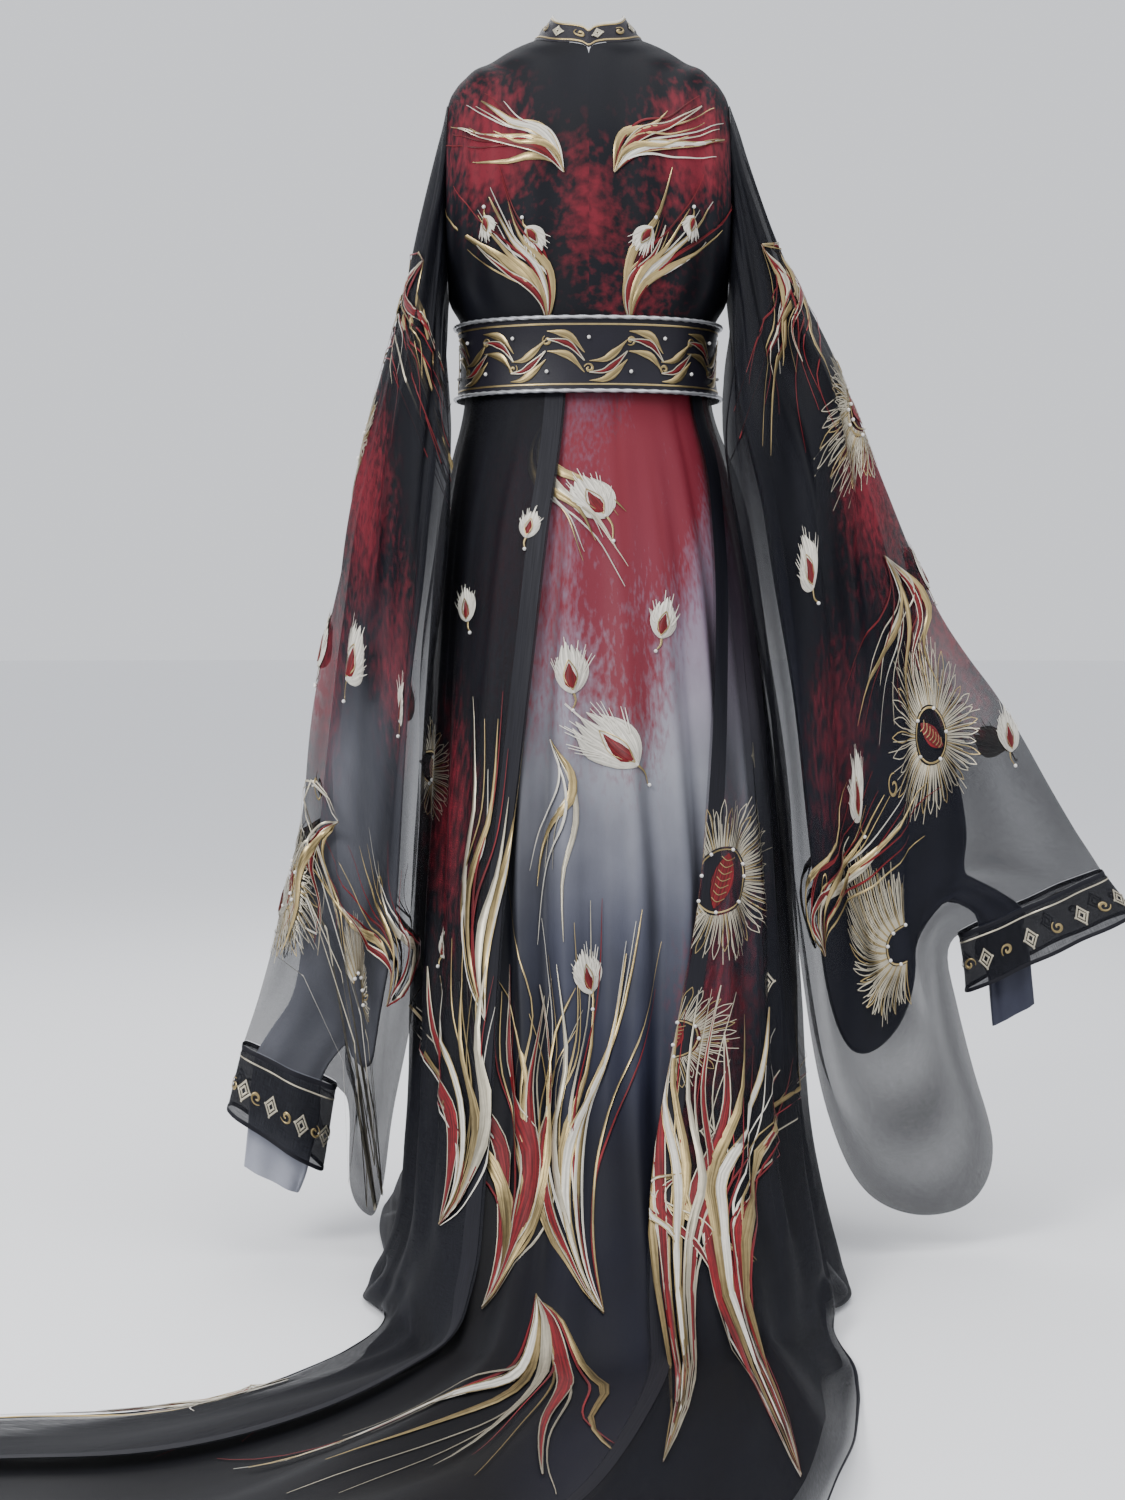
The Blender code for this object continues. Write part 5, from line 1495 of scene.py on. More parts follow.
def build_wide_sleeve(word, side, wide):
    """A wide sleeve with its pouch."""
    columns, rows = SLEEVE_STEPS
    cloth = tube(
        lambda at, t: sleeve_point(wide, side, at, -side * t % 1.0, SLEEVE_FOLD_DEPTH),
        np.linspace(0.0, SLEEVE_SEAM, 56),
        np.arange(72) / 72,
        columns,
        rows,
    )
    down = np.linspace(0, 1, rows + 1)[:, None]
    ends = smooth_step(down / 0.06) * smooth_step((1 - down) / 0.06)
    off_edge = np.abs(np.linspace(0, 1, columns + 1)[None, :] - 0.5)
    between = smooth_step(np.minimum(off_edge, 0.5 - off_edge) / 0.06)
    bend = creases(cloth, SLEEVE_CREASES, 1.1) * between
    bend = (bend + ripples(cloth, f"sleeve_{word}")) * ends
    cloth.shift(bend)
    x, _, z = heights(cloth)
    thick = 0.62 + 0.26 * smooth_step((z - 0.62) / 0.35)
    if side > 0:
        thick = thick - 0.14 * smooth_step((0.70 - z) / 0.12) * smooth_step((x - 0.30) / 0.10)
    # Painted fold shade: the organza's density follows the creases, so the folds show as darker and
    # lighter streaks.
    thick = thick - 0.17 * np.clip(bend / 0.007, -1, 1)
    organza, colour = finish("organza"), colour_of("organza")
    keep(f"sleeve_{word}", cloth, organza, colour, thick, SLEEVE_BLOOMS, SLOTS["sleeve"])


def build_cuff(word, side, edge):
    """The doubled band at a sleeve's mouth."""
    cuff = tube(
        lambda at, t: sleeve_point(edge, side, at, -side * t % 1.0, SLEEVE_FOLD_DEPTH),
        np.linspace(SLEEVE_SEAM + CUFF_GAP, CUFF_END, 8),
        np.arange(72) / 72,
        *CUFF_STEPS,
    )
    cuff.shift(ripples(cuff, "cuff"))
    keep(f"cuff_{word}", cuff, finish("organza"), colour_of("organza"), 0.88, (), SLOTS["cuff"])


def build_inner_sleeve(word, side, wide, edge, lining):
    """The narrow sleeve, paler low down on the left."""
    columns, rows = INNER_STEPS
    inner = tube(
        lambda at, t: inner_sleeve_point(wide, edge, lining, side, at, -side * t % 1.0),
        np.linspace(0.0, INNER_END, 44),
        np.arange(32) / 32,
        columns,
        rows,
    )
    from_top = smooth_step(np.linspace(0, 1, rows + 1) / 0.1)[:, None]
    inner.shift(ripples(inner, "inner_sleeve") * from_top)
    tones = (PALE_LINING if side > 0 else DARK_LINING, colour_of("satin_navy"))
    tone = banded(heights(inner)[2], LINING_LEVELS, tones)
    keep(f"inner_sleeve_{word}", inner, finish("navy_satin"), tone, 1.0, (), SLOTS["inner"])


def collar_point(turn, up):
    """A point of the collar band, from the left front edge over the nape to the right one."""
    side = 1 if turn < 0.5 else -1
    off_nape = abs(turn - 0.5)
    at = COLLAR_ENDS[0] + off_nape * 2 * (COLLAR_ENDS[1] - COLLAR_ENDS[0])
    edge = np.array(bodice_point(side, 0.0, at, OVERLAP_DEPTH if side < 0 else 0.0))
    stand = np.array([float(through(COLLAR_STAND, "at", name, at)) for name in ("x", "y", "z")])
    stand[0] *= side
    place = edge + stand * (SEAM_GAP * 3 + up * COLLAR_WIDTH)
    return (place[0] if off_nape > 1e-6 else 0.0, place[1], place[2])


def build_bodice():
    """The two halves of the upper body and the standing collar band."""
    organza, colour = finish("organza"), colour_of("organza")
    for word, side, inset in (("right", -1, OVERLAP_DEPTH), ("left", 1, 0.0)):
        base = [
            [bodice_point(side, across, at, inset) for across in np.linspace(0, 1, 36)]
            for at in np.linspace(0, 1, 64)
        ]
        cloth = Cloth(np.array(base), *BODICE_STEPS)
        around = np.linspace(0, 1, BODICE_STEPS[0] + 1)[None, :]
        middle = smooth_step(around / 0.15) * smooth_step((1 - around) / 0.15)
        cloth.shift(ripples(cloth, "bodice") * middle)
        name = f"bodice_{word}"
        keep(name, cloth, organza, colour, OPAQUE, BODICE_BLOOMS, SLOTS["bodice"])
    base = [[collar_point(t, up) for t in np.linspace(0, 1, 97)] for up in np.linspace(0, 1, 5)]
    collar = Cloth(np.array(base), *COLLAR_STEPS)
    keep("collar", collar, finish("navy_satin"), COLLAR_DYE, 1.0, (), SLOTS["collar"])
    border = Stitches(collar)
    for v, thread, width in COLLAR_LINES:
        edge_line(border, thread, v, width, 120, 240, puff=0.0008, lift=0.0004)
    embroider("collar", border, "edge")


def sash_cord(up):
    """The twisted cord along one edge of the sash, as rings of points with their lengths."""
    away = SASH_WALL + PIPING_RADIUS + SEAM_GAP
    turns = np.arange(CORD_RINGS + 1) / CORD_RINGS
    around = np.arange(CORD_SIDES + 1) / CORD_SIDES * FULL_TURN
    line = np.array([sash_point(t, up, away) for t in turns]) - (0, 0, NAPE_HEIGHT)
    out = unit(line * (1, 1, 0))
    twist = 0.16 * np.cos(2 * (around[None, :] - np.arange(CORD_RINGS + 1)[:, None] * 0.55))
    facing = np.cos(around)[None, :, None] * out[:, None]
    facing = facing + np.sin(around)[None, :, None] * np.array([0, 0, 1.0])
    points = line[:, None] + PIPING_RADIUS * (0.95 + twist)[..., None] * facing
    lengths = np.broadcast_arrays(around[None, :] * PIPING_RADIUS, turns[:, None])
    return points.reshape(-1, 3), np.stack(lengths, axis=-1).reshape(-1, 2)


def build_sash():
    """The wide belt with a corded edge above and below."""
    base = [
        [sash_point(t + 0.5, up, SASH_WALL) for t in np.arange(72) / 72]
        for up in np.linspace(0, 1, 7)
    ]
    cloth = Cloth(np.array(base), *SASH_STEPS, True)
    keep("sash", cloth, finish("navy_satin"), SASH_DYE, 1.0, (), SLOTS["sash"])
    for name, up in (("sash_piping_top", 0.97), ("sash_piping_bottom", 0.03)):
        points, lengths = sash_cord(up)
        faces = grid_faces(CORD_RINGS, CORD_SIDES)
        made = new_object(f"{name}_cord", points, faces, lengths, finish("silver"))
        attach(made, "root")
        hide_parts(name)


# ---- Embroidery ----

# One row for each motif: x and height of its middle on the cloth, in metres, and its size and turn.
Bud = namedtuple("Bud", "x z size turn")
Cloud = namedtuple("Cloud", "x z size turn")
# A flower has a quilted heart unless the heart's size is 0, and may be only part of a round.
Flower = namedtuple(
    "Flower", "x z inner outer petals heart turn start end", defaults=(0.0, 0.0, 0.0, FULL_TURN)
)
# A spray of reeds: where it springs and points, its leaves and their width, how far they part and
# bend, the view it is laid out in, its seed and its threads. On the floor y stands for the height.
Reeds = namedtuple("Reeds", "root tip count width spread bow view seed threads")

SKIRT_THREADS = ("gold", "crimson", "pale_gold", "gold", "ivory")
PANEL_THREADS = ("gold", "crimson", "ivory", "gold", "pale_gold", "crimson")
SLEEVE_THREADS = ("gold", "crimson", "gold", "pale_gold")
BODICE_THREADS = ("gold", "crimson", "gold", "ivory")
CRIMSON_THREADS = ("crimson", "gold", "crimson")
IVORY_THREADS = ("crimson", "gold", "ivory")
STRAND_THREADS = ("pale_gold", "gold", "ivory", "crimson")

UNDERSKIRT_REEDS = (
    Reeds((0.055, 1.00), (-0.02, 0.80), 3, 0.016, 0.05, 0.018, "back", 3, ("gold", "pale_gold")),
    Reeds((0.045, 0.62), (0.035, 0.38), 2, 0.012, 0.03, -0.015, "back", 5, ("pale_gold", "gold")),
    Reeds((-0.01, 0.05), (0.045, 0.46), 6, 0.014, 0.13, -0.03, "back", 8, SKIRT_THREADS),
    Reeds((0.115, 0.05), (0.055, 0.34), 5, 0.022, 0.10, 0.02, "back", 9, CRIMSON_THREADS),
)
UNDERSKIRT_BUDS = (
    Bud(-0.020, 0.885, 0.070, 2.7),
    Bud(0.020, 0.675, 0.056, 3.0),
    Bud(-0.055, 0.590, 0.078, 2.4),
    Bud(-0.085, 0.740, 0.046, 3.4),
    Bud(0.000, 0.330, 0.052, 2.9),
)
TRAIN_REEDS = (
    Reeds((0.20, 0.70), (0.52, 1.02), 5, 0.018, 0.20, 0.03, "floor", 20, SKIRT_THREADS),
    Reeds((0.06, 0.62), (0.20, 1.10), 5, 0.018, 0.18, -0.02, "floor", 21, SKIRT_THREADS),
)
UNDERSKIRT_FRONT_REEDS = (
    Reeds((0.02, 0.06), (-0.03, 0.42), 5, 0.013, 0.12, 0.02, "front", 31, SKIRT_THREADS),
)
UNDERSKIRT_FRONT_BUDS = (Bud(0.03, 0.78, 0.044, 2.8), Bud(-0.03, 0.60, 0.040, 3.4))

RIGHT_PANEL_FLOWERS = (
    Flower(-0.155, 0.455, 0.042, 0.100, 44, 0.0336, 0.2),
    Flower(-0.085, 0.285, 0.026, 0.064, 32, 0.0208, 0.2),
)
RIGHT_PANEL_LOZENGES = ((-0.20, 0.60), (-0.06, 0.42), (-0.21, 0.33), (-0.13, 0.19))
RIGHT_PANEL_REEDS = (
    Reeds((-0.055, 0.03), (-0.115, 0.34), 6, 0.016, 0.12, 0.02, "back", 41, PANEL_THREADS),
    Reeds((-0.17, 0.03), (-0.185, 0.30), 5, 0.026, 0.09, -0.025, "back", 42, IVORY_THREADS),
    Reeds((-0.10, 0.45), (0.10, 0.60), 4, 0.018, 0.16, 0.03, "floor", 43, PANEL_THREADS),
    Reeds((-0.10, 0.05), (-0.12, 0.40), 4, 0.014, 0.09, 0.02, "front", 44, PANEL_THREADS),
    Reeds((0.05, 0.05), (0.0, 0.36), 4, 0.014, 0.09, 0.02, "front", 44, PANEL_THREADS),
)
LEFT_PANEL_FLOWERS = (Flower(0.19, 0.58, 0.022, 0.058, 28, 0.016, 0.0),)
LEFT_PANEL_REEDS = (
    Reeds((0.12, 0.30), (0.105, 0.66), 4, 0.016, 0.07, -0.015, "back", 51, ("pale_gold", "gold")),
    Reeds((0.165, 0.10), (0.140, 0.40), 5, 0.020, 0.09, 0.018, "back", 52, PANEL_THREADS),
    Reeds((0.45, 0.62), (0.70, 0.80), 5, 0.018, 0.16, 0.03, "floor", 53, PANEL_THREADS),
)
LEFT_PANEL_BUDS = (
    Bud(0.075, 0.86, 0.036, 3.0),
    Bud(0.145, 0.76, 0.040, 3.4),
    Bud(0.175, 0.36, 0.036, 2.7),
)
LEFT_PANEL_FRONT_REEDS = (
    Reeds((0.10, 0.05), (0.12, 0.42), 5, 0.014, 0.10, -0.02, "front", 54, PANEL_THREADS),
)

SLEEVE_FLOWERS = {
    "left": (
        Flower(0.285, 0.99, 0.030, 0.075, 34, 0.0225, 0.3),
        Flower(0.36, 0.44, 0.028, 0.085, 34, 0.021, 0.3),
    ),
    "right": (
        Flower(-0.330, 1.02, 0.032, 0.080, 36, 0.024, 0.3),
        Flower(-0.42, 0.62, 0.030, 0.090, 38, 0.0225, 0.3),
    ),
}
SLEEVE_BUDS = {
    "left": (
        Bud(0.340, 0.72, 0.064, 3.3),
        Bud(0.290, 0.69, 0.070, 3.0),
        Bud(0.225, 0.64, 0.052, 2.9),
        Bud(0.400, 0.42, 0.050, 3.3),
    ),
    "right": (
        Bud(-0.27, 0.80, 0.062, 3.2),
        Bud(-0.47, 0.83, 0.058, 2.8),
        Bud(-0.33, 0.52, 0.066, 3.1),
        Bud(-0.52, 0.60, 0.050, 2.7),
    ),
}
# Root, tip and count of the leaves of each spray on a sleeve.
SLEEVE_SPRAYS = {
    "left": (
        ((0.20, 1.20), (0.24, 0.98), 4),
        ((0.30, 0.52), (0.38, 0.36), 4),
        ((0.24, 0.30), (0.27, 0.52), 4),
    ),
    "right": (
        ((-0.21, 1.22), (-0.28, 0.98), 5),
        ((-0.36, 0.84), (-0.40, 0.62), 5),
        ((-0.28, 0.36), (-0.36, 0.58), 5),
    ),
}
SLEEVE_CLOUDS = (
    Cloud(0.30, 1.10, 0.030, 0.3),
    Cloud(0.25, 0.44, 0.030, 0.9),
    Cloud(0.33, 0.56, 0.026, 2.2),
)
RIGHT_SLEEVE_REACH = 1.12
POUCH_FLOWERS = {
    "left": (Flower(0.275, 0.315, 0.020, 0.062, 30, start=-2.9, end=0.2),),
    "right": (Flower(-0.385, 0.37, 0.026, 0.085, 40, start=-2.9, end=0.2),),
}
# On the left half of the bodice; the right half is its mirror image.
BODICE_SPRAYS = (
    ((0.03, 1.30), (0.145, 1.385), 4, "back"),
    ((0.05, 1.12), (0.135, 1.30), 5, "back"),
    ((0.09, 1.12), (0.12, 1.32), 4, "front"),
)
BODICE_BUDS = (Bud(0.075, 1.235, 0.036, 2.6), Bud(0.125, 1.25, 0.030, 2.9))
CUFF_MOTIFS, COLLAR_MOTIFS, SASH_MOTIFS = 16, 34, 22
# The leaves of each repeat on the sash: how far up each lies, its width, its thread and its edge.
SASH_LEAVES = (
    (0.020, 0.011, "gold", None),
    (0.010, 0.008, "crimson", "pale_gold"),
    (-0.004, 0.010, "gold", None),
)


def traced(cloth, places, view):
    """Places in metres, across and up or across and behind on the floor, as (u, v) on the cloth."""
    if view == "floor":
        return np.array([cloth.spot(x, 0.02, y=y) for x, y in places])
    facing = FRONT if view == "front" else BACK
    return np.array([cloth.spot(x, z, facing) for x, z in places])


def spray(stitches, root, tip, count, width, spread, bow, view, seed, threads):
    """Long reed leaves that rise from one root and part toward their tips, with strands between."""
    rng = np.random.default_rng(seed)
    if view == "floor":
        root, tip = traced(stitches.cloth, (root, tip), view)
        scale = np.array(stitches.scales(*((root + tip) / 2)))
        root, tip = root * scale, tip * scale
    (rx, rz), (tx, tz) = root, tip
    dx, dz = tx - rx, tz - rz
    length = math.hypot(dx, dz)
    px, pz = -dz / length, dx / length
    for k in range(3 * count):
        part = (k + 0.5) / (3 * count) - 0.5
        reach = rng.uniform(0.60, 1.05)
        lean = part * spread * rng.uniform(0.9, 1.3)
        curve = bow * rng.uniform(0.8, 1.6)
        places = []
        for t in (0.0, 0.2, 0.42, 0.68, 1.0):
            aside = part * spread * 0.45 * min(1.0, 3 * t) + lean * t**1.7
            aside += curve * math.sin(1.65 * math.pi * t)
            places.append((rx + dx * t * reach + px * aside, rz + dz * t * reach + pz * aside))
        if view == "floor":
            path = np.array(places) / scale
        else:
            path = traced(stitches.cloth, places, view)
        lift = STITCH_LIFT + 0.00035 * (k % 7)
        if k % 3:
            thread = STRAND_THREADS[int(rng.integers(0, 4))]
            swell = (0.0010, 0.0026, 0.0030, 0.0018, 0.0006)
            stitches.strip(thread, path, swell, 2, THREAD_PUFF, lift, 26)
            continue
        thread = threads[(k // 3) % len(threads)]
        edge = {"crimson": "pale_gold", "ivory": "gold"}.get(thread)
        leaf(stitches, thread, path, width * rng.uniform(0.55, 1.0), edge, lift)


def add_reeds(stitches, rows):
    """Embroider each spray of a table."""
    for row in rows:
        spray(stitches, *row)


def add_buds(stitches, rows, facings, side=1):
    """Embroider each bud of a table, on each side named."""
    for row in rows:
        for facing in facings:
            u, v = stitches.cloth.spot(row.x * side, row.z, facing)
            bud(stitches, u, v, row.size, row.turn)


def add_flowers(stitches, rows, facings):
    """Embroider each flower of a table, on each side named."""
    for row in rows:
        for facing in facings:
            u, v = stitches.cloth.spot(row.x, row.z, facing)
            flower(stitches, u, v, row.inner, row.outer, row.petals, row.start, row.end)
            if row.heart:
                heart_leaf(stitches, u, v, row.heart, row.turn * facing)


def embroider_skirt():
    """Reeds and lotus buds on the dyed skirt."""
    back = Stitches(cloths["underskirt_back"])
    add_reeds(back, UNDERSKIRT_REEDS)
    add_buds(back, UNDERSKIRT_BUDS, (BACK,))
    add_reeds(back, TRAIN_REEDS)
    embroider("underskirt_back", back)
    front = Stitches(cloths["underskirt_front"])
    add_reeds(front, UNDERSKIRT_FRONT_REEDS)
    add_buds(front, UNDERSKIRT_FRONT_BUDS, (FRONT,))
    embroider("underskirt_front", front)


def embroider_overskirt():
    """Chrysanthemums, reeds and buds on the sheer panels."""
    right = Stitches(cloths["overskirt_right"])
    add_flowers(right, RIGHT_PANEL_FLOWERS, (BACK,))
    for x, z in RIGHT_PANEL_LOZENGES:
        u, v = right.cloth.spot(x, z)
        lozenge(right, u, v, 0.014)
    add_reeds(right, RIGHT_PANEL_REEDS)
    embroider("overskirt_right", right)
    left = Stitches(cloths["overskirt_left"])
    add_flowers(left, LEFT_PANEL_FLOWERS, (BACK,))
    add_reeds(left, LEFT_PANEL_REEDS)
    add_buds(left, LEFT_PANEL_BUDS, (BACK,))
    add_reeds(left, LEFT_PANEL_FRONT_REEDS)
    embroider("overskirt_left", left)


def embroider_sleeves():
    """Chrysanthemums, buds, reeds and clouds on the wide sleeves, and scrolls on their cuffs."""
    for word, side in (("right", -1), ("left", 1)):
        sleeve = Stitches(cloths[f"sleeve_{word}"])
        add_flowers(sleeve, SLEEVE_FLOWERS[word], (BACK, FRONT))
        add_buds(sleeve, SLEEVE_BUDS[word], (BACK, FRONT))
        for k, (root, tip, count) in enumerate(SLEEVE_SPRAYS[word]):
            for view in ("back", "front"):
                shape = (count, 0.014, 0.08, 0.018 * side)
                spray(sleeve, root, tip, *shape, view, 60 + k, SLEEVE_THREADS)
        reach = 1.0 if side > 0 else RIGHT_SLEEVE_REACH
        for row in SLEEVE_CLOUDS:
            for facing in (BACK, FRONT):
                u, v = sleeve.cloth.spot(row.x * side * reach, row.z, facing)
                cloud(sleeve, u, v, row.size, row.turn, side)
        add_flowers(sleeve, POUCH_FLOWERS[word], (BACK, FRONT))
        embroider(f"sleeve_{word}", sleeve)
        cuff = Stitches(cloths[f"cuff_{word}"])
        for k in range(CUFF_MOTIFS):
            u = (k + 0.5) / CUFF_MOTIFS
            if k % 2:
                cloud(cuff, u, 0.56, 0.016, 0.4 + k, 1 if k % 4 == 1 else -1)
            else:
                lozenge(cuff, u, 0.56, 0.012)
        embroider(f"cuff_{word}", cuff)


def embroider_bodice():
    """Reeds and buds over the shoulders and back, and a scroll on the collar."""
    for word, side in (("right", -1), ("left", 1)):
        half = Stitches(cloths[f"bodice_{word}"])
        for (rx, rz), (tx, tz), count, view in BODICE_SPRAYS:
            root, tip, seed = (rx * side, rz), (tx * side, tz), 71 + count
            spray(half, root, tip, count, 0.013, 0.06, 0.012 * side, view, seed, BODICE_THREADS)
        add_buds(half, BODICE_BUDS, (BACK, FRONT), side)
        embroider(f"bodice_{word}", half)
    collar = Stitches(cloths["collar"])
    for k in range(COLLAR_MOTIFS):
        u = (k + 0.5) / COLLAR_MOTIFS
        if k % 2:
            lozenge(collar, u, 0.5, 0.010)
        else:
            cloud(collar, u, 0.5, 0.017, 0.6, 1 if k % 4 else -1)
    embroider("collar", collar)


def embroider_sash():
    """Gold leaves and crimson scrolls round the belt."""
    sash = Stitches(cloths["sash"])
    for k in range(SASH_MOTIFS):
        u = (k + 0.5) / SASH_MOTIFS
        sense = 1 if k % 2 else -1
        for up, wide, thread, edge in SASH_LEAVES:
            ends = [(-0.020, up - 0.016), (-0.006, up + 0.002 * sense)]
            ends += [(0.008, up + 0.008), (0.024, up + 0.010)]
            path = sash.local(u, 0.48, 0.0, [(x, y * sense) for x, y in ends])
            leaf(sash, thread, path, wide, edge)
        between = u + 0.5 / SASH_MOTIFS
        cloud(sash, between, 0.5 + 0.18 * sense, 0.012, 1.2 + k, sense)
        sash.bead([(between, 0.5 - 0.22 * sense)])
    for v in (0.12, 0.88):
        edge_line(sash, "gold", v, 0.002, 120, 260, 2, lift=0.0006)
    embroider("sash", sash)


# ---- Stage ----

PAPER = (0.90, 0.905, 0.92, 1)
SKY, SKY_STRENGTH = (0.86, 0.88, 0.93, 1), 1.12
FLOOR_RADII = (0.01, 1.5, 3.0, 6.0, 15.0, 60.0)
FLOOR_TURNS = 96
FLOOR_GAP = 0.0015
LIT_PLACE = Vector((0.05, 0.1, -0.75))
Lamp = namedtuple("Lamp", "name place size power")
LAMPS = (
    Lamp("key", (1.9, 2.6, 1.2), 1.3, 105.0),
    Lamp("fill", (-2.4, 2.2, 0.6), 2.6, 16.0),
    Lamp("top", (-0.4, 0.4, 2.2), 2.2, 50.0),
    Lamp("front", (0.6, -2.2, 1.2), 2.2, 26.0),
)
CAMERA_LENS = 60.67
CAMERA_PLACE = (0.032, 3.2, 0.75 - NAPE_HEIGHT)
CAMERA_DIP = 2.72


def build_floor():
    """A wide disc of pale paper."""
    turns = [FULL_TURN * k / FLOOR_TURNS for k in range(FLOOR_TURNS + 1)]
    z = -NAPE_HEIGHT - FLOOR_GAP
    points = [(r * math.cos(a), r * math.sin(a), z) for r in FLOOR_RADII for a in turns]
    paper, _, bsdf = shader("studio_paper")
    bsdf.inputs["Base Color"].default_value = PAPER
    bsdf.inputs["Roughness"].default_value = 0.8
    faces = grid_faces(len(FLOOR_RADII) - 1, FLOOR_TURNS)
    floor = new_object("studio_floor", points, faces, np.array(points)[:, :2], paper)
    floor.visible_diffuse = False
    return floor


def build_lamp(row):
    """A soft lamp that faces the robe."""
    data = bpy.data.lights.new(row.name, "AREA")
    data.size = row.size
    data.energy = row.power
    lamp = bpy.data.objects.new(row.name, data)
    lamp.location = row.place
    toward = LIT_PLACE - Vector(row.place)
    lamp.rotation_euler = toward.to_track_quat("-Z", "Y").to_euler()
    bpy.context.scene.collection.objects.link(lamp)
    return lamp


def build_stage():
    """A wide pale floor, soft lights and the camera behind the robe."""
    scene = bpy.context.scene
    made = [build_floor(), *(build_lamp(row) for row in LAMPS)]
    world = bpy.data.worlds.new("studio")
    world.use_nodes = True
    background = world.node_tree.nodes["Background"]
    background.inputs["Color"].default_value = SKY
    background.inputs["Strength"].default_value = SKY_STRENGTH
    scene.world = world
    data = bpy.data.cameras.new("camera")
    data.lens = CAMERA_LENS
    camera = bpy.data.objects.new("camera", data)
    camera.location = CAMERA_PLACE
    camera.rotation_euler = (math.radians(90 - CAMERA_DIP), 0, math.pi)
    scene.collection.objects.link(camera)
    scene.camera = camera


# Each cloth's cut: its width and length before it is gathered, its flat area in square metres, how
# it is held and what it hangs from.
Cut = namedtuple("Cut", "name width length area held rests_on")
CUTS = table(Cut, (
    ("underskirt_back", 2.40, 2.29, 1.71, "hung", ("sash",)),
    ("underskirt_front", 0.99, 1.07, 0.58, "hung", ("sash",)),
    ("overskirt_right", 1.55, 2.12, 1.02, "hung", ("sash",)),
    ("overskirt_left", 1.40, 2.22, 0.96, "hung", ("sash",)),
    ("sleeve_right", 1.44, 1.64, 0.76, "hung", ("bodice_right",)),
    ("sleeve_left", 0.99, 1.33, 0.51, "hung", ("bodice_left",)),
    ("cuff_right", 0.535, 0.074, 0.034, "hung", ("sleeve_right",)),
    ("cuff_left", 0.356, 0.106, 0.030, "hung", ("sleeve_left",)),
    ("inner_sleeve_right", 0.88, 1.43, 0.395, "hung", ("bodice_right",)),
    ("inner_sleeve_left", 0.58, 1.32, 0.295, "hung", ("bodice_left",)),
    ("bodice_right", 0.27, 0.955, 0.165, "draped", ("sash",)),
    ("bodice_left", 0.276, 0.961, 0.168, "draped", ("sash",)),
    ("collar", 1.075, 0.056, 0.054, "folded", ("bodice_right", "bodice_left")),
    ("sash", 0.944, 0.094, 0.087, "folded", ("bodice_right", "bodice_left")),
))


class ROBE_OT_underskirt(bpy.types.Operator):
    """Build the dyed skirt"""

    bl_idname = "robe.underskirt"
    bl_label = "Underskirt"

    def execute(self, context):
        build_underskirt()
        return {"FINISHED"}


class ROBE_OT_overskirt(bpy.types.Operator):
    """Build the two sheer panels of the robe's skirt"""

    bl_idname = "robe.overskirt"
    bl_label = "Overskirt"

    def execute(self, context):
        build_overskirt()
        return {"FINISHED"}


class ROBE_OT_sleeves(bpy.types.Operator):
    """Build the wide sleeves, the cuffs and the narrow sleeves"""

    bl_idname = "robe.sleeves"
    bl_label = "Sleeves"

    def execute(self, context):
        build_sleeves()
        return {"FINISHED"}


class ROBE_OT_bodice(bpy.types.Operator):
    """Build the upper body and the collar"""

    bl_idname = "robe.bodice"
    bl_label = "Bodice and collar"

    def execute(self, context):
        build_bodice()
        return {"FINISHED"}


class ROBE_OT_sash(bpy.types.Operator):
    """Build the belt and its corded edges"""

    bl_idname = "robe.sash"
    bl_label = "Sash"

    def execute(self, context):
        build_sash()
        return {"FINISHED"}


class ROBE_OT_skirt_embroidery(bpy.types.Operator):
    """Embroider the dyed skirt"""

    bl_idname = "robe.skirt_embroidery"
    bl_label = "Underskirt embroidery"

    def execute(self, context):
        embroider_skirt()
        return {"FINISHED"}


class ROBE_OT_overskirt_embroidery(bpy.types.Operator):
    """Embroider the sheer panels"""

    bl_idname = "robe.overskirt_embroidery"
    bl_label = "Overskirt embroidery"

    def execute(self, context):
        embroider_overskirt()
        return {"FINISHED"}


class ROBE_OT_sleeve_embroidery(bpy.types.Operator):
    """Embroider the sleeves and the cuffs"""

    bl_idname = "robe.sleeve_embroidery"
    bl_label = "Sleeve embroidery"

    def execute(self, context):
        embroider_sleeves()
        return {"FINISHED"}


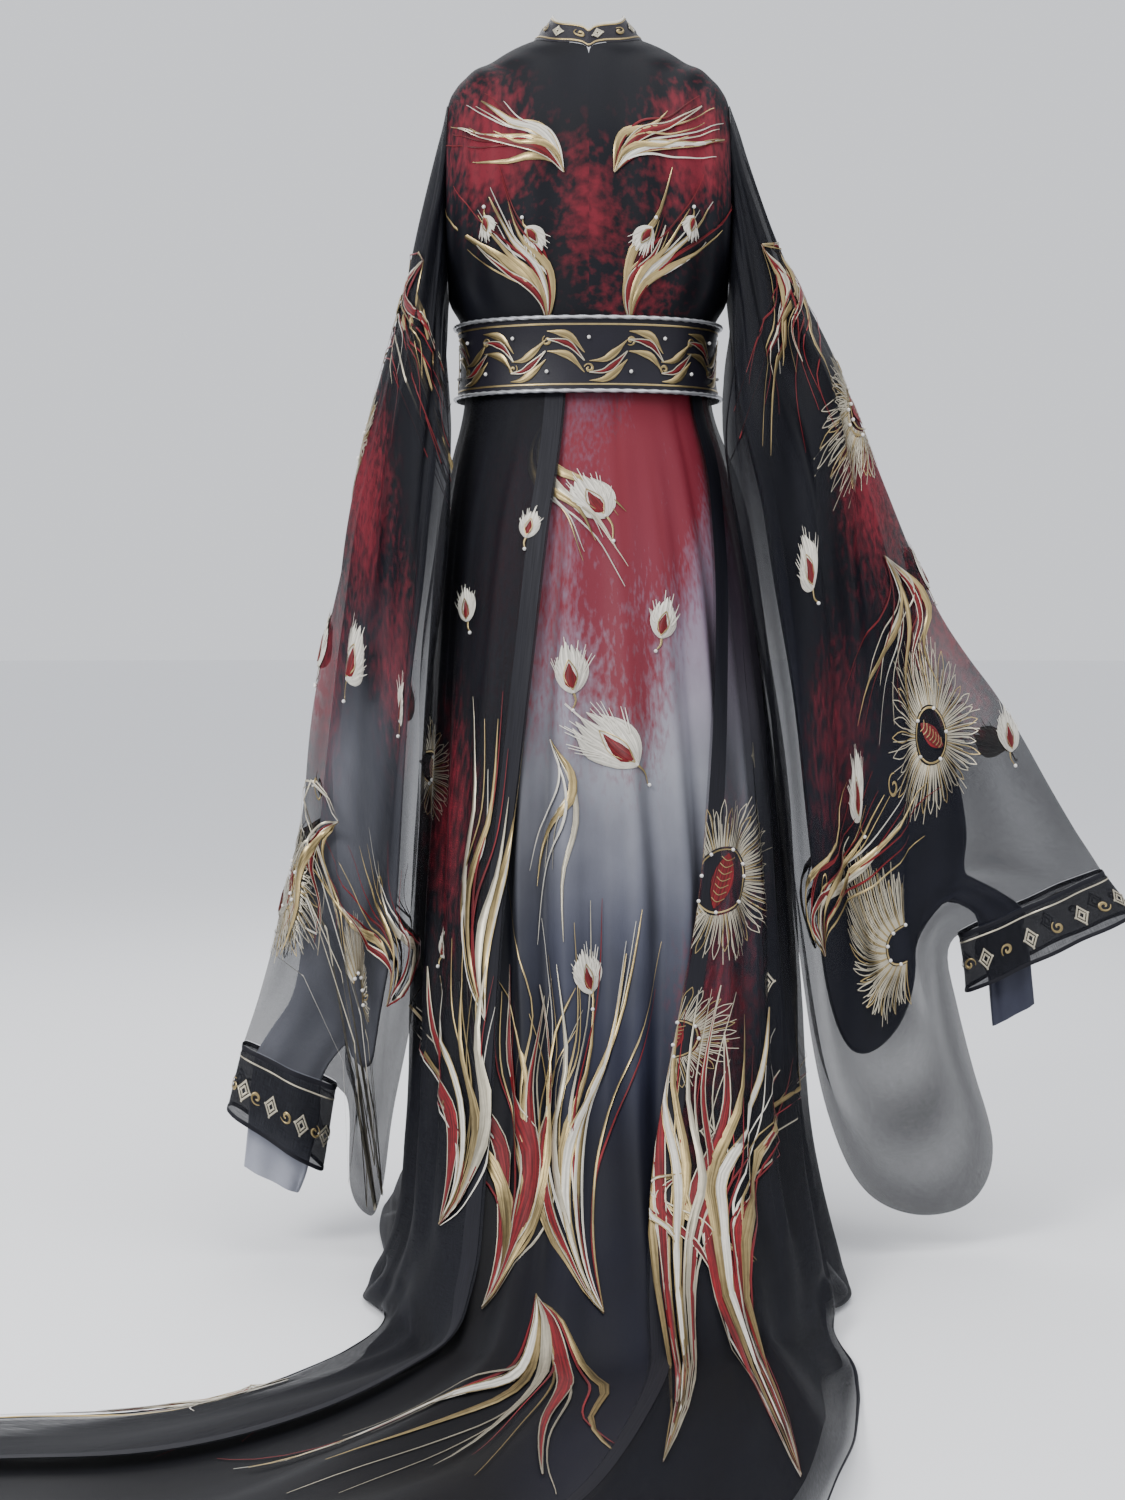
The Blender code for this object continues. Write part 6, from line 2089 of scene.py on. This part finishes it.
class ROBE_OT_bodice_embroidery(bpy.types.Operator):
    """Embroider the upper body and the collar"""

    bl_idname = "robe.bodice_embroidery"
    bl_label = "Bodice embroidery"

    def execute(self, context):
        embroider_bodice()
        return {"FINISHED"}


class ROBE_OT_sash_embroidery(bpy.types.Operator):
    """Embroider the belt"""

    bl_idname = "robe.sash_embroidery"
    bl_label = "Sash embroidery"

    def execute(self, context):
        embroider_sash()
        return {"FINISHED"}


class ROBE_OT_stage(bpy.types.Operator):
    """Build the floor, the lights and the camera"""

    bl_idname = "robe.stage"
    bl_label = "Stage"

    def execute(self, context):
        build_stage()
        return {"FINISHED"}


OPERATORS = (
    ROBE_OT_underskirt,
    ROBE_OT_overskirt,
    ROBE_OT_sleeves,
    ROBE_OT_bodice,
    ROBE_OT_sash,
    ROBE_OT_skirt_embroidery,
    ROBE_OT_overskirt_embroidery,
    ROBE_OT_sleeve_embroidery,
    ROBE_OT_bodice_embroidery,
    ROBE_OT_sash_embroidery,
    ROBE_OT_stage,
)


class ROBE_PT_panel(bpy.types.Panel):
    """The robe's sizes, colours and building steps"""

    bl_idname = "ROBE_PT_panel"
    bl_label = "Hanfu Robe"
    bl_space_type = "VIEW_3D"
    bl_region_type = "UI"
    bl_category = "Hanfu Robe"

    def draw(self, context):
        for group in (context.scene.robe_sizes, context.scene.robe_colours):
            box = self.layout.box()
            for name in group.__annotations__:
                box.prop(group, name)
        for operator in OPERATORS:
            self.layout.operator(operator.bl_idname)


CLASSES = (RobeSizes, RobeColours, *OPERATORS, ROBE_PT_panel)


def register():
    for made in CLASSES:
        bpy.utils.register_class(made)
    bpy.types.Scene.robe_sizes = bpy.props.PointerProperty(type=RobeSizes)
    bpy.types.Scene.robe_colours = bpy.props.PointerProperty(type=RobeColours)


def unregister():
    del bpy.types.Scene.robe_colours
    del bpy.types.Scene.robe_sizes
    for made in reversed(CLASSES):
        bpy.utils.unregister_class(made)


def main():
    register()
    for operator in OPERATORS:
        group, name = operator.bl_idname.split(".")
        getattr(getattr(bpy.ops, group), name)()


if __name__ == "__main__":
    main()
